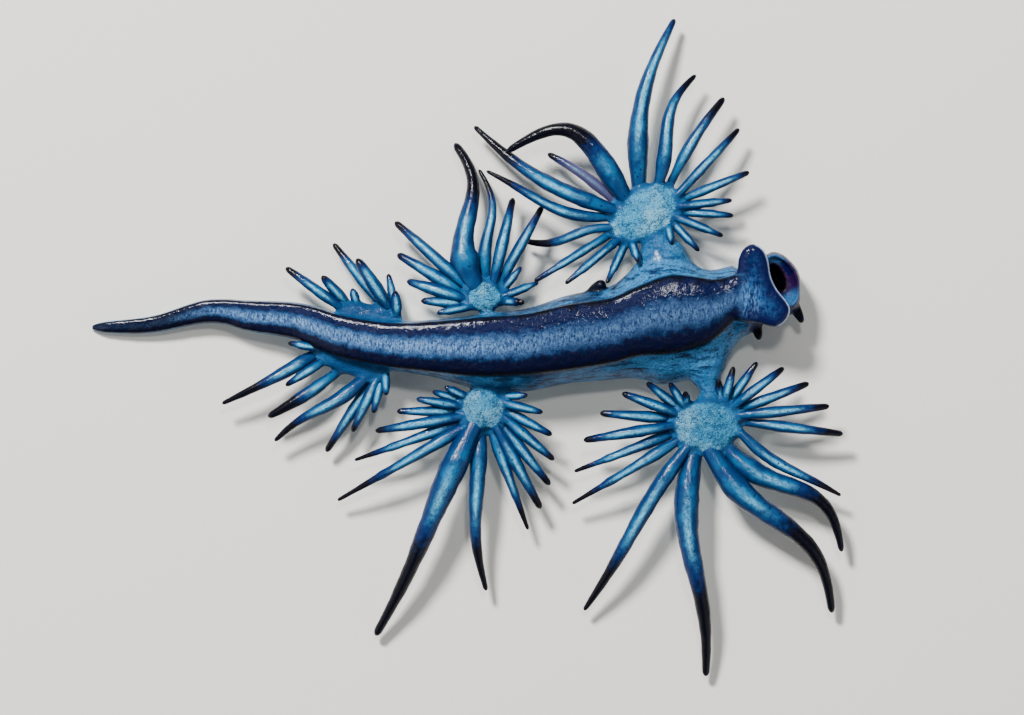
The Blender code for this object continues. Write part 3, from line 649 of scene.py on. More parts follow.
def surface_net(values, axes):
    """Points and four-sided faces of the surface where the grid's values cross zero."""
    cells = np.array(values.shape) - 1
    inside = values < 0
    keys, spots, quads = [], [], []
    for axis in range(3):
        lower = tuple(slice(None, -1) if d == axis else slice(None) for d in range(3))
        upper = tuple(slice(1, None) if d == axis else slice(None) for d in range(3))
        edges = np.argwhere(inside[lower] != inside[upper])
        b, c = (axis + 1) % 3, (axis + 2) % 3
        ends = edges[:, [b, c]]
        edges = edges[np.all((ends > 0) & (ends < cells[[b, c]]), axis=1)]
        start = tuple(edges.T)
        after = edges.copy()
        after[:, axis] += 1
        value = values[start]
        share = value / (value - values[tuple(after.T)])
        spot = np.stack([axes[d][edges[:, d]] for d in range(3)], axis=1)
        spot[:, axis] += share * (axes[axis][after[:, axis]] - spot[:, axis])
        corners = []
        for db, dc in ((0, 0), (1, 0), (1, 1), (0, 1)):
            cell = edges.copy()
            cell[:, b] -= db
            cell[:, c] -= dc
            corners.append(np.ravel_multi_index(tuple(cell.T), cells))
        corners = np.stack(corners, axis=1)
        outward = inside[start]
        quads.append(np.where(outward[:, None], corners, corners[:, ::-1]))
        keys.append(corners.ravel())
        spots.append(np.repeat(spot, 4, axis=0))
    keys = np.concatenate(keys)
    spots = np.concatenate(spots)
    known, place = np.unique(keys, return_inverse=True)
    count = np.bincount(place)
    points = np.stack([np.bincount(place, spots[:, d]) / count for d in range(3)], axis=1)
    faces = np.searchsorted(known, np.concatenate(quads))
    return points, faces


def relaxed(points, faces, rounds, strength=0.5):
    """Points drawn towards the middle of their neighbours, which takes the grid's steps away."""
    ends = np.concatenate([faces[:, [k, (k + 1) % 4]] for k in range(4)])
    count = np.bincount(ends[:, 0], minlength=len(points))
    for _ in range(rounds):
        middle = np.stack(
            [np.bincount(ends[:, 0], points[ends[:, 1], d], len(points)) for d in range(3)], axis=1
        ) / count[:, None]
        points = points + strength * (middle - points)
    return points


def skin_field():
    axes = [graded(stretches) for stretches in GRID]
    values = np.full([len(axis) for axis in axes], FAR)
    fill_body(values, axes)
    fill_arms(values, axes)
    fill_head(values, axes)
    fill_feelers(values, axes)
    return values, axes


# Meshes.


def mesh_piece(name, points, faces, attributes):
    """A smooth mesh object from points in the tables' millimetres, with a value at each point."""
    mesh = bpy.data.meshes.new(name)
    sides = faces.shape[1]
    mesh.vertices.add(len(points))
    mesh.loops.add(faces.size)
    mesh.polygons.add(len(faces))
    places = (points - (*FOOTPRINT_CENTRE, 0.0)) * MM
    mesh.vertices.foreach_set("co", places.astype(np.float32).ravel())
    mesh.loops.foreach_set("vertex_index", faces.astype(np.int32).ravel())
    mesh.polygons.foreach_set("loop_start", np.arange(0, faces.size, sides, dtype=np.int32))
    mesh.update(calc_edges=True)
    mesh.shade_smooth()
    for key, column in attributes.items():
        layer = mesh.attributes.new(key, "FLOAT", "POINT")
        layer.data.foreach_set("value", np.asarray(column, np.float32))
    piece = bpy.data.objects.new(name, mesh)
    bpy.context.scene.collection.objects.link(piece)
    return piece


def corner_normals(points, faces):
    """The surface's direction at each point."""
    a, b, c, d = (points[faces[:, k]] for k in range(4))
    across = np.cross(c - a, d - b)
    total = np.stack([
        sum(np.bincount(faces[:, k], across[:, axis], len(points)) for k in range(4))
        for axis in range(3)
    ], axis=1)
    return total / (np.linalg.norm(total, axis=1)[:, None] + TINY)


def skin_zones(points, normals):
    """How much each point of the skin belongs to each of its zones, from 0 to 1."""
    x, y, z = points.T
    middle, foot, left, right, height = body_at(x)
    across = (y - middle) / foot
    flank = np.where(across > 0, right, left)
    beyond = np.abs(y - middle) - foot - flank
    level = z / height
    behind_head = smooth_step(x, 13.3, 12.5)
    arm = smooth_step(beyond, -0.05, 0.45) * (x < 12.6)
    sole = smooth_step(np.abs(across), 1.06, 0.98) * smooth_step(level, 0.79, 0.88)
    disc = np.zeros(len(x))
    rim = np.zeros(len(x))
    for a in ARMS:
        u, v = turned(x, y, a.centre, a.turn)
        near = np.hypot(u / a.pad[0], v / a.pad[1])
        top = smooth_step(z - a.height, -0.10 * a.pad[2], 0.55 * a.pad[2])
        rim = np.maximum(rim, smooth_step(near, 1.25, 1.0))
        if a.name not in HIDDEN_PADS:
            disc = np.maximum(disc, smooth_step(near, 1.14, 0.66) * top)
    # The lobe counts over the head, and on the wing that it spreads beside the neck.
    flat = outline_distance(LOBE_OUTLINE, x, y)
    wing = smooth_step(x, 12.0, 12.4) * smooth_step(y, 4.2, 4.8)
    on_lobe = smooth_step(z, 3.30, 3.45) * np.maximum(smooth_step(x, 12.3, 13.1), wing)
    lobe = on_lobe * smooth_step(flat, 0.12, 0.02)
    lobe_middle_share = smooth_step(flat, -0.25, -1.15)
    speckled = lobe * smooth_step(np.hypot(x - 12.9, y - 3.2), 1.5, 0.3)
    edge = on_lobe * smooth_step(flat, -0.10, -0.05) * smooth_step(normals[:, 0], 0.15, 0.4)
    edge *= smooth_step(z - lobe_middle(x), 0.08, 0.20)
    hood = smooth_step(hollow_distance(HOOD, x, y, z), -0.02, -0.14) * (1 - lobe)
    mouth = smooth_step(hollow_distance(MOUTH, x, y, z), 0.16, -0.02) * (1 - lobe)
    _, along_hood = turned(x, y, HOOD.centre, HOOD.turn)
    corner = smooth_step(np.abs(along_hood), 0.38 * HOOD.size[1], 0.75 * HOOD.size[1])
    head = smooth_step(x, 12.9, 13.5) * (1 - lobe)
    feeler = np.zeros(len(x))
    for path in FEELERS.values():
        rows = round_feeler(path)[1:]
        feeler = np.maximum(feeler, smooth_step(tube_distance(rows, x, y, z), 0.16, 0.04))
    back = smooth_step(normals[:, 2], 0.0, -0.55) * smooth_step(level, 0.7, 0.3)
    return {
        "across": across,
        "along": x,
        "sole": sole * (1 - arm) * behind_head,
        "arm": arm,
        "rim": rim * (1 - disc),
        "disc": disc,
        "lobe": lobe,
        "lobe_middle": lobe_middle_share,
        "speckled": speckled,
        "edge": edge,
        "hood": hood,
        "mouth": mouth,
        "corner": corner * smooth_step(hollow_distance(HOOD, x, y, z), 0.10, -0.02) * (1 - lobe),
        "head": head,
        "feeler": feeler,
        "back": back,
    }


def ceras_mesh(arm, row, number, sides, rng):
    """Points, faces, values and map places of one ceras."""
    rounding = min(MOST_TIP, TIP_LENGTH * ceras_width(row, np.ones(1))[0] / 2 / row.reach)
    stem = np.linspace(0, 1 - rounding, int(STEM_RINGS + STEM_RINGS_PER_MM * row.reach))
    tip = 1 - rounding + rounding * np.sin(np.linspace(0, math.pi / 2, TIP_RINGS))
    shares = np.concatenate([stem, tip[1:]])
    radii = ceras_width(row, shares) / 2
    end = np.clip((shares - 1 + rounding) / rounding, 0, 1)
    radii = radii * np.sqrt(np.maximum(1 - end**2, 0))
    points = ceras_points(arm, row, number, shares)
    buried = sunk_root(arm, row, number)
    points = np.vstack([buried, points])
    radii = np.concatenate([[radii[0] * SUNK_WIDTH], radii])
    shares = np.concatenate([[0.0], shares])
    along = np.gradient(points, axis=0)
    along /= np.linalg.norm(along, axis=1)[:, None]
    across = np.cross(along, (0, 0, 1))
    across /= np.linalg.norm(across, axis=1)[:, None]
    up = np.cross(across, along)
    turns = 2 * math.pi * np.arange(sides) / sides
    phases = rng.uniform(0, 2 * math.pi, 4)
    length = shares[:, None] * row.reach
    swell = sum(
        strength * np.sin(often * length + times * turns + phase)
        for (strength, often, times), phase in zip(SWELLS, phases)
    )
    reach = radii[:, None] * (1 + swell * smooth_step(shares, 0.0, 0.12)[:, None])
    ring = (
        points[:, None]
        + across[:, None] * (reach * np.cos(turns))[..., None]
        + up[:, None] * (reach * np.sin(turns))[..., None]
    )
    count = len(points)
    ring[-1] = points[-1]
    places = ring.reshape(-1, 3)
    n, k = np.meshgrid(np.arange(count - 1), np.arange(sides), indexing="ij")
    a, b = n * sides + k, n * sides + (k + 1) % sides
    faces = np.stack([a, a + sides, b + sides, b], axis=-1).reshape(-1, 4)
    u, v = k / sides, n / (count - 1)
    du, dv = 1 / sides, 1 / (count - 1)
    corners = [(u + p * du, v + q * dv) for p, q in ((0, 0), (0, 1), (1, 1), (1, 0))]
    map_places = np.moveaxis(np.array(corners), (0, 1), (-2, -1)).reshape(-1, 4, 2)
    values = {
        "share": shares[:, None],
        "length": length,
        "upward": np.sin(turns),
        "sideways": np.cos(turns),
        "dark_from": 1 - row.dark,
        "tint": rng.uniform(),
        "faded": float((arm.name, row.root) == FADED_CERAS),
    }
    values = {key: np.broadcast_to(value, (count, sides)).ravel() for key, value in values.items()}
    return places, faces, values, map_places


def cerata_piece(arm, sides, rng):
    """All cerata of one arm as one piece, each with its own tile on the bake's map."""
    rows = cerata_rows(arm)
    tiles = math.ceil(math.sqrt(len(rows)))
    points, faces, maps, values = [], [], [], {}
    start = 0
    for number, row in enumerate(rows):
        places, quads, columns, map_places = ceras_mesh(arm, row, number, sides, rng)
        tile = np.array((number % tiles, number // tiles))
        maps.append((tile + TILE_MARGIN + (1 - 2 * TILE_MARGIN) * map_places) / tiles)
        points.append(places)
        faces.append(quads + start)
        for key, column in columns.items():
            values.setdefault(key, []).append(column)
        start += len(places)
    values = {key: np.concatenate(columns) for key, columns in values.items()}
    piece = mesh_piece(f"cerata_{arm.name}", np.concatenate(points), np.concatenate(faces), values)
    layer = piece.data.uv_layers.new(name="OFBake")
    layer.uv.foreach_set("vector", np.concatenate(maps).astype(np.float32).ravel())
    return piece


# Materials. What the mathematical nodes do most often has names.

TIMES = {"operation": "MULTIPLY"}
TIMES_PLUS = {"operation": "MULTIPLY_ADD"}
PLUS = {"operation": "ADD"}
LESS = {"operation": "SUBTRACT"}


def add_node(tree, kind, inputs=(), out=0, **settings):
    """Adds a node and gives back one output. Inputs that are sockets are linked, others are set."""
    node = tree.nodes.new("ShaderNode" + kind)
    for key, value in settings.items():
        setattr(node, key, value)
    for key, value in inputs.items() if isinstance(inputs, dict) else enumerate(inputs):
        if isinstance(value, bpy.types.NodeSocket):
            tree.links.new(value, node.inputs[key])
        else:
            node.inputs[key].default_value = value
    return node.outputs[out] if node.outputs else None


def share_of(node, *parts):
    """The product of parts. A tuple of a value and two limits is first eased, from 0 at the one to 1
    at the other, or between a third and a fourth number."""
    share = None
    for part in parts:
        if isinstance(part, tuple):
            part = node("MapRange", part, interpolation_type="SMOOTHSTEP")
        share = part if share is None else node("Math", (share, part), **TIMES)
    return share


def layered(node, colour, *layers):
    """A colour under layers, each a colour and the parts of the share that it covers."""
    for over, *parts in layers:
        colour = node("Mix", {0: share_of(node, *parts), 6: colour, 7: over}, 2, data_type="RGBA")
    return colour


def ruffled(node, value, *noises):
    """A value swung by noises, each with its strength, so that borders drawn on it are ragged."""
    for noise, strength in noises:
        swing = share_of(node, node("Math", (noise, 0.5), **LESS), strength)
        value = node("Math", (value, swing), **PLUS)
    return value


def skin_base(name, zones, widths, speck_gap):
    """An empty material, and what both skins are coloured by: place, zones, noises and specks.

    The noises are clouds, mottle and grain, of these widths in millimetres. Black specks lie in the
    thick of the clouds, this many millimetres apart.
    """
    made = bpy.data.materials.new(name)
    made.use_nodes = True
    made.node_tree.nodes.clear()
    node = partial(add_node, made.node_tree)
    place = node("VectorMath", {0: node("TexCoord", out="Object"), "Scale": 1 / MM}, operation="SCALE")
    zone = {key: node("Attribute", out="Fac", attribute_name=key) for key in zones}
    noises = [
        node("TexNoise", {"Vector": place, "Scale": 1 / width, "Detail": detail, "Roughness": 0.6})
        for width, detail in zip(widths, (3.0, 4.0, 2.0))
    ]
    dots = node("TexVoronoi", {"Vector": place, "Scale": 1 / speck_gap})
    specks = share_of(node, (dots, 0.17, 0.10), (noises[0], 0.44, 0.52))
    return made, node, place, zone, noises, specks


def wet_surface(node, colour, rough, film, bump, film_bump):
    """Skin with a dull gloss of its own under a clear film with the gloss of water."""
    shader = node("BsdfPrincipled", {
        "Base Color": colour, "Roughness": rough, "IOR": 1.2, "Specular IOR Level": 0.25,
        "Coat Weight": film, "Coat Roughness": 0.06, "Coat IOR": 1.33,
        "Normal": bump, "Coat Normal": film_bump,
    })
    node("OutputMaterial", (shader,))


def wet_skin(looks):
    """Living mucus-covered skin: dark pigment under a clear wet film, which gives sharp highlights."""
    base = skin_base("wet slug skin", SKIN_ZONES, (1.6, 0.45, 0.10), 0.5)
    made, node, place, zone, (cloud, mottle, grain), specks = base
    # Fine streaks run across the body, and broad patches are drawn out along it.
    streaks, drawn = (
        node("TexNoise", {"Vector": node("VectorMath", (place, stretch), **TIMES),
                          "Scale": 1 / width, "Detail": 4.0, "Roughness": 0.6})
        for stretch, width in (((1.6, 0.55, 1.0), 0.15), ((0.4, 1.6, 1.6), 0.5))
    )
    fibres = node("TexNoise", {"Vector": place, "Scale": 1 / 0.07, "Detail": 3.0, "Roughness": 0.6})
    along, across = zone["along"], zone["across"]

    # Flanks: steel blue, cloudy, paler by the neck, with deep patches and scattered black specks.
    paler = share_of(node, (along, 4.0, 8.0, 0.0, 0.20))
    flank = layered(
        node, looks.flank,
        (looks.flank_pale, (node("Math", (cloud, paler), **PLUS), 0.38, 0.62)),
        (looks.flank_deep, (drawn, 0.48, 0.62, 0.0, 0.8)),
        (looks.speck_black, (drawn, 0.63, 0.68, 0.0, 0.8)),
        (looks.flank_deep, (grain, 0.42, 0.66, 0.0, 0.6)),
        (looks.speck_black, specks, 0.85),
    )
    # Pads: pale aqua, granular, with a frayed border. The pads on the left side are darker, which is
    # painted shade.
    tufts = layered(node, looks.pad_pale, (looks.pad_silver, (cloud, 0.46, 0.66)))
    fuzz = node("Mix", {0: 0.4, 2: fibres, 3: mottle})
    pad = layered(
        node, looks.pad_deep_and_shade,
        (tufts, (fuzz, 0.38, 0.58)),
        # Painted shade: the pads on the left side are mixed towards the deep colour, as if the light fell
        # from the right.
        (looks.pad_deep_and_shade, (across, 1.0, -1.5, 0.0, 0.3)),
    )
    frayed = ruffled(node, zone["disc"], (mottle, 0.9), (fibres, 0.9), (cloud, 1.71))
    # Foot: navy, darkest along its edges, with lighter blue clouds and a lighter right side, which is
    # painted light. A granular silvery stripe runs between teal borders; its pale grains are partly
    # pigment and partly a painted highlight along the foot's crown. The stripe fades towards the tail and
    # towards the head.
    off_middle = node("Math", (across,), operation="ABSOLUTE")
    ragged = ruffled(node, off_middle, (mottle, 0.55))
    speckled = ruffled(node, ragged, (streaks, 0.9))
    aslant = node("Math", (cloud, 0.6, across), **TIMES_PLUS)
    fade = share_of(node, (along, -20.0, -14.5, 0.05, 1.0), (along, 4.5, -4.5, 0.45, 1.0))
    silver = layered(node, looks.stripe_mauve, (looks.stripe_silver_and_highlight, (streaks, 0.35, 0.65)))
    half = looks.stripe_share
    foot = layered(
        node, looks.foot_navy,
        # Lighter blue clouds, and painted light over the right side of the foot; the navy left side is
        # painted shade.
        (looks.foot_blue_and_light, (aslant, -0.6, 1.1)),
        (looks.foot_black, (ragged, 0.74, 1.0)),
        (looks.foot_black, (along, -14.0, -20.0, 0.0, 0.6)),
        (looks.stripe_teal, (ragged, half + 0.26, half), fade, 0.8),
        # Partly pigment, partly a painted highlight along the crown of the foot.
        (silver, (speckled, half + 0.18, half - 0.18), fade, (grain, 0.3, 0.56, 0.25, 1.0)),
        (looks.speck_black, specks, 0.9),
    )
    # Head: near-black navy with purple clouds.
    head = layered(node, looks.head_navy, (looks.head_purple, (cloud, 0.4, 0.6)))
    # The back, which faces the floor: silvery grey, cloudy along the body.
    back = layered(
        node, looks.back_silver,
        (looks.back_grey, (node("Mix", {0: 0.4, 2: drawn, 3: mottle}), 0.42, 0.60)),
        (looks.speck_black, specks, 0.85),
    )
    backward = node("Math", (mottle, 0.3, zone["back"]), **TIMES_PLUS)
    # The foot's front lobe: navy with a teal middle, speckled where the stripe runs out on it.
    veil = node("Mix", {0: 0.5, 2: mottle, 3: streaks})
    lobe = layered(
        node, looks.lobe_navy,
        (looks.lobe_teal, (veil, 0.36, 0.62), zone["lobe_middle"]),
        # The stripe's colour, partly pigment and partly a painted highlight.
        (looks.stripe_silver_and_highlight, zone["speckled"], (streaks, 0.42, 0.68, 0.0, 0.45)),
    )
    # Inside the oral hood the skin is purple, blue at both corners, and nearly black in the mouth.
    inside = layered(node, looks.hood_purple, (looks.hood_plum, (mottle, 0.35, 0.7)))
    # The arms are a deeper teal than the flanks, with painted shade round the roots of the cerata.
    colour = layered(
        node, flank,
        (looks.arm_teal, zone["arm"], (mottle, 0.35, 0.65, 0.35, 0.85)),
        # Painted shade round the roots of the cerata, on the rims of the pads.
        (looks.root_shade_blue, zone["rim"], 0.75),
        (pad, (frayed, 0.30, 0.68)),
        (foot, zone["sole"]),
        (head, zone["head"]),
        (back, (backward, 0.45, 0.95)),
        (lobe, zone["lobe"]),
        (inside, zone["hood"]),
        (looks.hood_blue, zone["corner"], (grain, 0.3, 0.6, 0.4, 0.9)),
        (looks.mouth_black, zone["mouth"]),
        (looks.edge_lavender, zone["edge"]),
        (looks.feeler_black, zone["feeler"]),
    )

    # Relief: folds along the body, wrinkles across the foot, pebbles on the pads, and both noises.
    even = node("Math", (1.2, share_of(node, zone["lobe"], 0.9)), **LESS)
    relief = share_of(node, node("Math", (drawn, 0.5), **LESS), even)
    wrinkles = share_of(node, node("Math", (streaks, 0.5), **LESS), zone["sole"])
    hollows = node("TexVoronoi", {"Vector": place, "Scale": 1 / 0.13}, feature="SMOOTH_F1")
    pebbles = share_of(node, hollows, zone["disc"])
    for part, weight in ((wrinkles, 1.6), (grain, 0.4), (mottle, 4.6), (pebbles, -3.0)):
        relief = node("Math", (part, weight, relief), **TIMES_PLUS)
    bump = node("Bump", {"Height": relief, "Strength": 0.55, "Distance": 0.05 * MM})
    # The film levels the finer grain out, so that only the broad mottle breaks its highlights. It is
    # thickest along the middle of the foot and on the lobe, and thinnest on the pads.
    film_bump = node("Bump", {"Height": mottle, "Strength": 0.6, "Distance": 0.05 * MM})
    wet = share_of(node, zone["sole"], (off_middle, 0.90, 0.62))
    wet = node("Math", (wet, zone["lobe"]), operation="MAXIMUM")
    film = node("Math", (zone["disc"], -0.18, share_of(node, (wet, 0.0, 1.0, 0.22, 0.60))), **TIMES_PLUS)
    rough = share_of(node, (mottle, 0.3, 0.7, 0.30, 0.45))
    rough = node("Math", (zone["disc"], 0.22, rough), **TIMES_PLUS)
    wet_surface(node, colour, rough, film, bump, film_bump)
    return made


def wet_ceras(looks):
    """The same wet skin on the cerata: blue, with painted shade on both sides and a band along the upper
    side that is partly silvery pigment and partly a painted highlight, black-tipped.
    """
    base = skin_base("wet ceras skin", CERAS_ZONES, (1.1, 0.32, 0.11), 0.45)
    made, node, _, zone, (cloud, mottle, grain), specks = base
    upward = zone["upward"]
    ragged = ruffled(node, zone["share"], (mottle, 0.22))
    downward = node("Math", (mottle, 0.4, upward), **TIMES_PLUS)
    uneven = ruffled(node, node("Math", (zone["sideways"],), operation="ABSOLUTE"), (mottle, 0.5))
    before_tip = node("Math", (zone["dark_from"], ragged), **LESS)
    past = node("Math", (ragged, zone["dark_from"]), **LESS)
    # Fine streaks are drawn out along each ceras, and each ceras has its own.
    stretches = (("length", 1.6), ("sideways", 3.0), ("tint", 60.0))
    drawn = node("CombineXYZ", [share_of(node, zone[key], stretch) for key, stretch in stretches])
    streaks = node("TexNoise", {"Vector": drawn, "Scale": 2.0, "Detail": 4.0, "Roughness": 0.7})
    # The underside, which faces the floor, is silvery like the back, and both sides are darkened with
    # painted shade. A broken band lies along the upper side, strongest half way out, partly silvery
    # pigment and partly a painted highlight. The tip turns navy and then black behind a mottled line.
    colour = layered(
        node, looks.ceras_blue,
        (looks.ceras_teal, (cloud, 0.4, 0.62)),
        # Painted shade at the roots of the cerata.
        (looks.root_shade_blue, (ragged, 0.16, 0.02, 0.0, 0.75)),
        (looks.back_silver, (downward, -0.15, -0.65, 0.0, 0.8)),
        # Painted shade along both sides of each ceras.
        (looks.ceras_side_shade, (uneven, 0.40, 0.90), (upward, -0.1, 0.2)),
        # Partly silvery pigment, partly a painted highlight along the upper side.
        (looks.ceras_silver_and_highlight, (uneven, 0.52, 0.0), (upward, 0.2, 0.5), (ragged, 0.12, 0.42),
         (before_tip, 0.02, 0.22), (streaks, 0.34, 0.60, 0.36, 1.0), (mottle, 0.36, 0.56, 0.50, 1.0),
         (grain, 0.36, 0.58, 0.55, 1.0)),
        (looks.violet_grey, zone["faded"], 0.75),
        (looks.tip_navy, (past, -0.20, 0.02, 0.0, 0.9)),
        (looks.tip_black, (past, -0.05, 0.08)),
        (looks.speck_black, specks, 0.8),
    )
    relief = node("Math", (mottle, 2.2, share_of(node, grain, 0.5)), **TIMES_PLUS)
    bump = node("Bump", {"Height": relief, "Strength": 0.45, "Distance": 0.04 * MM})
    rough = share_of(node, (mottle, 0.3, 0.7, 0.30, 0.45))
    wet_surface(node, colour, rough, 0.6, bump, bump)
    return made


def matte_board(colour):
    """Matte painted board under the model: no gloss of its own."""
    made = bpy.data.materials.new("matte painted board")
    made.use_nodes = True
    shader = made.node_tree.nodes["Principled BSDF"]
    shader.inputs["Base Color"].default_value = colour
    shader.inputs["Roughness"].default_value = 0.85
    return made


# Settings, operators and panel.


def colour_property(name, description, code):
    return FloatVectorProperty(
        name=name, description=description, default=linear(code), subtype="COLOR", size=4, min=0, max=1
    )


class SlugLooks(bpy.types.PropertyGroup):
    """Colours and sizes of the slug's skin."""

    ceras_sides: IntProperty(
        name="Ceras sides", description="Faces round each ceras", default=20, min=8, max=48
    )
    stripe_share: FloatProperty(
        name="Stripe width", description="Half width of the foot's stripe, as a share of the foot's",
        default=0.30, min=0, max=1, subtype="FACTOR",
    )
    # Navy of the foot, left in painted shade on its left side.
    foot_navy: colour_property("Foot navy", "The foot's left side", "#02041f")
    # Lighter blue clouds, and painted light over the foot's right side.
    foot_blue_and_light: colour_property("Foot blue", "The foot's right side", "#020c34")
    foot_black: colour_property("Foot black", "The foot's edges", "#01020c")
    # Partly pigment, partly a painted highlight along the crown of the foot.
    stripe_silver_and_highlight: colour_property("Stripe silver", "Pale grains of the foot's stripe", "#6a92c0")
    stripe_mauve: colour_property("Stripe mauve", "Darker grains of the foot's stripe", "#22365e")
    stripe_teal: colour_property("Stripe teal", "Borders of the foot's stripe", "#0a3a66")
    flank: colour_property("Flank", "Steel blue of the flanks", "#14466e")
    flank_pale: colour_property("Flank pale", "Pale clouds on the flanks", "#3878aa")
    flank_deep: colour_property("Flank deep", "Deep patches on the flanks", "#041a3c")
    back_silver: colour_property("Back silver", "Silvery grey of the back", "#a3bfd2")
    back_grey: colour_property("Back grey", "Darker clouds on the back", "#6f93b0")
    arm_teal: colour_property("Arm teal", "The stalks of the arms", "#184a74")
    # Painted shade round the roots of the cerata.
    root_shade_blue: colour_property("Root blue", "Round the roots of the cerata", "#073560")
    pad_pale: colour_property("Pad pale", "Pale grains of the pads", "#3e8cb2")
    pad_silver: colour_property("Pad silver", "Palest grains of the pads", "#6cacc6")
    # Also painted shade on the pads of the left side.
    pad_deep_and_shade: colour_property("Pad deep", "Between the grains of the pads", "#0f3c60")
    # Painted shade along both sides of the cerata.
    ceras_side_shade: colour_property("Ceras edge", "Both sides of the cerata", "#04244e")
    ceras_blue: colour_property("Ceras blue", "Blue of the cerata", "#05305c")
    ceras_teal: colour_property("Ceras teal", "Lighter clouds on the cerata", "#0e527e")
    # Partly silvery pigment, partly a painted highlight along the upper side of the cerata.
    ceras_silver_and_highlight: colour_property("Ceras silver", "Sheen along the cerata", "#78d0f2")
    violet_grey: colour_property("Violet grey", "The one faded ceras", "#483e5e")
    tip_navy: colour_property("Tip navy", "Cerata behind their black tips", "#091a4a")
    tip_black: colour_property("Tip black", "Tips of the cerata", "#04040f")
    speck_black: colour_property("Speck black", "Scattered specks", "#04081f")
    head_navy: colour_property("Head navy", "The head", "#050b3c")
    head_purple: colour_property("Head purple", "Purple clouds on the head", "#1f0a36")
    lobe_navy: colour_property("Lobe navy", "The foot's front lobe", "#050c38")
    lobe_teal: colour_property("Lobe teal", "Clouds on the front lobe", "#184878")
    hood_purple: colour_property("Hood purple", "Inside the oral hood", "#241030")
    hood_plum: colour_property("Hood plum", "Clouds inside the oral hood", "#5a2a48")
    hood_blue: colour_property("Hood blue", "The corners of the oral hood", "#2e6090")
    mouth_black: colour_property("Mouth black", "The hollow of the mouth", "#060310")
    edge_lavender: colour_property("Edge lavender", "The lobe's pale front edge", "#93a9d8")
    feeler_black: colour_property("Feeler black", "Feelers", "#040618")


class SlugStage(bpy.types.PropertyGroup):
    """Camera, floor and lights."""

    lens: FloatProperty(
        name="Lens", description="Focal length of the camera", default=200, min=35, max=400, unit="CAMERA"
    )
    floor_size: FloatProperty(
        name="Floor size", description="Width of the floor", default=1.2, min=0.1, unit="LENGTH"
    )
    floor_colour: colour_property("Floor", "Pale matte floor", "#e4e1da")
    key_power: FloatProperty(
        name="Key light", description="Power of the key light", default=2.0, min=0, unit="POWER"
    )
    fill_power: FloatProperty(
        name="Fill light", description="Power of the fill lights", default=0.7, min=0, unit="POWER"
    )
    glint_power: FloatProperty(
        name="Glint light", description="Power of the small light that the wet skin mirrors", default=0.25,
        min=0, unit="POWER",
    )
    sky_strength: FloatProperty(
        name="Sky", description="Strength of the even light all round", default=0.18, min=0
    )


class SLUG_OT_skin(bpy.types.Operator):
    """Covers the body, head, feelers, stalks and pads in one skin"""

    bl_idname = "slug.skin"
    bl_label = "Skin"

    def execute(self, context):
        values, axes = skin_field()
        points, faces = surface_net(values, axes)
        points = relaxed(points, faces, RELAX_ROUNDS)
        points[:, 2] = np.maximum(points[:, 2], 0.0)
        normals = corner_normals(points, faces)
        skin = mesh_piece("skin", points, faces, skin_zones(points, normals))
        skin.data.materials.append(wet_skin(context.scene.slug_looks))
        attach(skin, "root")
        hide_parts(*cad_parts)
        return {"FINISHED"}


class SLUG_OT_cerata(bpy.types.Operator):
    """Grows the fans of cerata out of their pads"""

    bl_idname = "slug.cerata"
    bl_label = "Cerata"

    def execute(self, context):
        looks = context.scene.slug_looks
        finish = wet_ceras(looks)
        rng = np.random.default_rng(CERATA_SEED)
        for arm in ARMS:
            piece = cerata_piece(arm, looks.ceras_sides, rng)
            piece.data.materials.append(finish)
            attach(piece, "root")
            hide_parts(f"arm_{arm.name}")
        return {"FINISHED"}


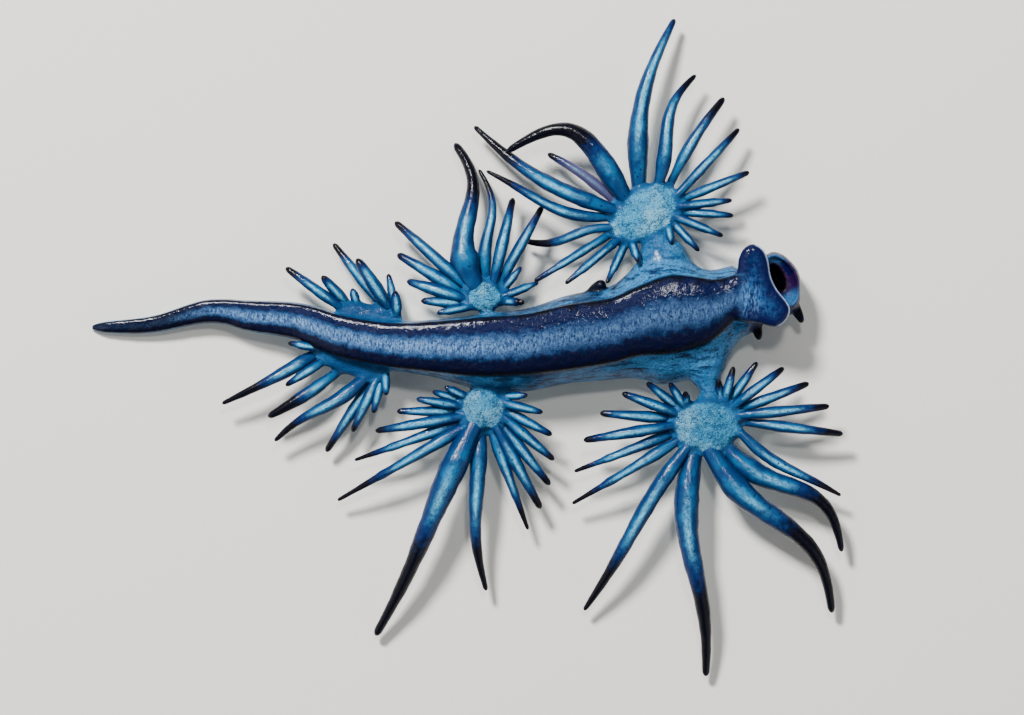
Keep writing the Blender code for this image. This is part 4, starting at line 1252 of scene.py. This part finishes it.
class SLUG_OT_stage(bpy.types.Operator):
    """Sets up the floor, the lights and the camera"""

    bl_idname = "slug.stage"
    bl_label = "Stage"

    def execute(self, context):
        settings = context.scene.slug_stage
        half = settings.floor_size / 2
        mesh = bpy.data.meshes.new("floor")
        corners = [(a * half, b * half, 0) for a, b in ((-1, -1), (1, -1), (1, 1), (-1, 1))]
        mesh.from_pydata(corners, [], [(0, 1, 2, 3)])
        mesh.materials.append(matte_board(settings.floor_colour))
        floor = bpy.data.objects.new("floor", mesh)
        context.scene.collection.objects.link(floor)

        # Each light: where it stands, its width, and its power.
        lights = (
            ("key_light", (-0.10, 0.17, 0.24), 0.06, settings.key_power),
            ("front_fill", (0.35, -0.32, 0.22), 0.60, settings.fill_power),
            ("rear_fill", (-0.42, -0.08, 0.22), 0.60, settings.fill_power),
            ("glint_light", (0.03, 0.10, 0.30), 0.03, settings.glint_power),
        )
        for name, place, width, power in lights:
            data = bpy.data.lights.new(name, "AREA")
            data.shape = "DISK"
            data.size = width
            data.energy = power
            light = bpy.data.objects.new(name, data)
            light.location = place
            light.rotation_euler = (-Vector(place)).to_track_quat("-Z", "Y").to_euler()
            context.scene.collection.objects.link(light)

        world = bpy.data.worlds.new("studio")
        world.use_nodes = True
        sky = world.node_tree.nodes["Background"]
        sky.inputs["Color"].default_value = (0.9, 0.95, 1.0, 1.0)
        sky.inputs["Strength"].default_value = settings.sky_strength
        context.scene.world = world

        data = bpy.data.cameras.new("camera")
        data.lens = settings.lens
        data.clip_start = 0.01
        camera = bpy.data.objects.new("camera", data)
        distance = PHOTO_WIDTH * MM_PER_PIXEL * MM * data.lens / data.sensor_width
        middle = [-place * MM for place in FOOTPRINT_CENTRE]
        camera.location = (*middle, PAD_LEVEL * MM + distance)
        context.scene.collection.objects.link(camera)
        context.scene.camera = camera
        return {"FINISHED"}


class SLUG_PT_panel(bpy.types.Panel):
    """Lists the slug's pieces and their settings"""

    bl_idname = "SLUG_PT_panel"
    bl_label = "Sea slug"
    bl_space_type = "VIEW_3D"
    bl_region_type = "UI"
    bl_category = "Sea slug"

    def draw(self, context):
        for operator in OPERATORS:
            self.layout.operator(operator.bl_idname)
        for group in (context.scene.slug_looks, context.scene.slug_stage):
            for key in group.__annotations__:
                self.layout.prop(group, key)


OPERATORS = (SLUG_OT_skin, SLUG_OT_cerata, SLUG_OT_stage)
CLASSES = (SlugLooks, SlugStage, *OPERATORS, SLUG_PT_panel)


def register():
    for each in CLASSES:
        bpy.utils.register_class(each)
    bpy.types.Scene.slug_looks = PointerProperty(type=SlugLooks)
    bpy.types.Scene.slug_stage = PointerProperty(type=SlugStage)


def unregister():
    del bpy.types.Scene.slug_stage
    del bpy.types.Scene.slug_looks
    for each in reversed(CLASSES):
        bpy.utils.unregister_class(each)


def main():
    register()
    bpy.ops.slug.skin()
    bpy.ops.slug.cerata()
    bpy.ops.slug.stage()


if __name__ == "__main__":
    main()
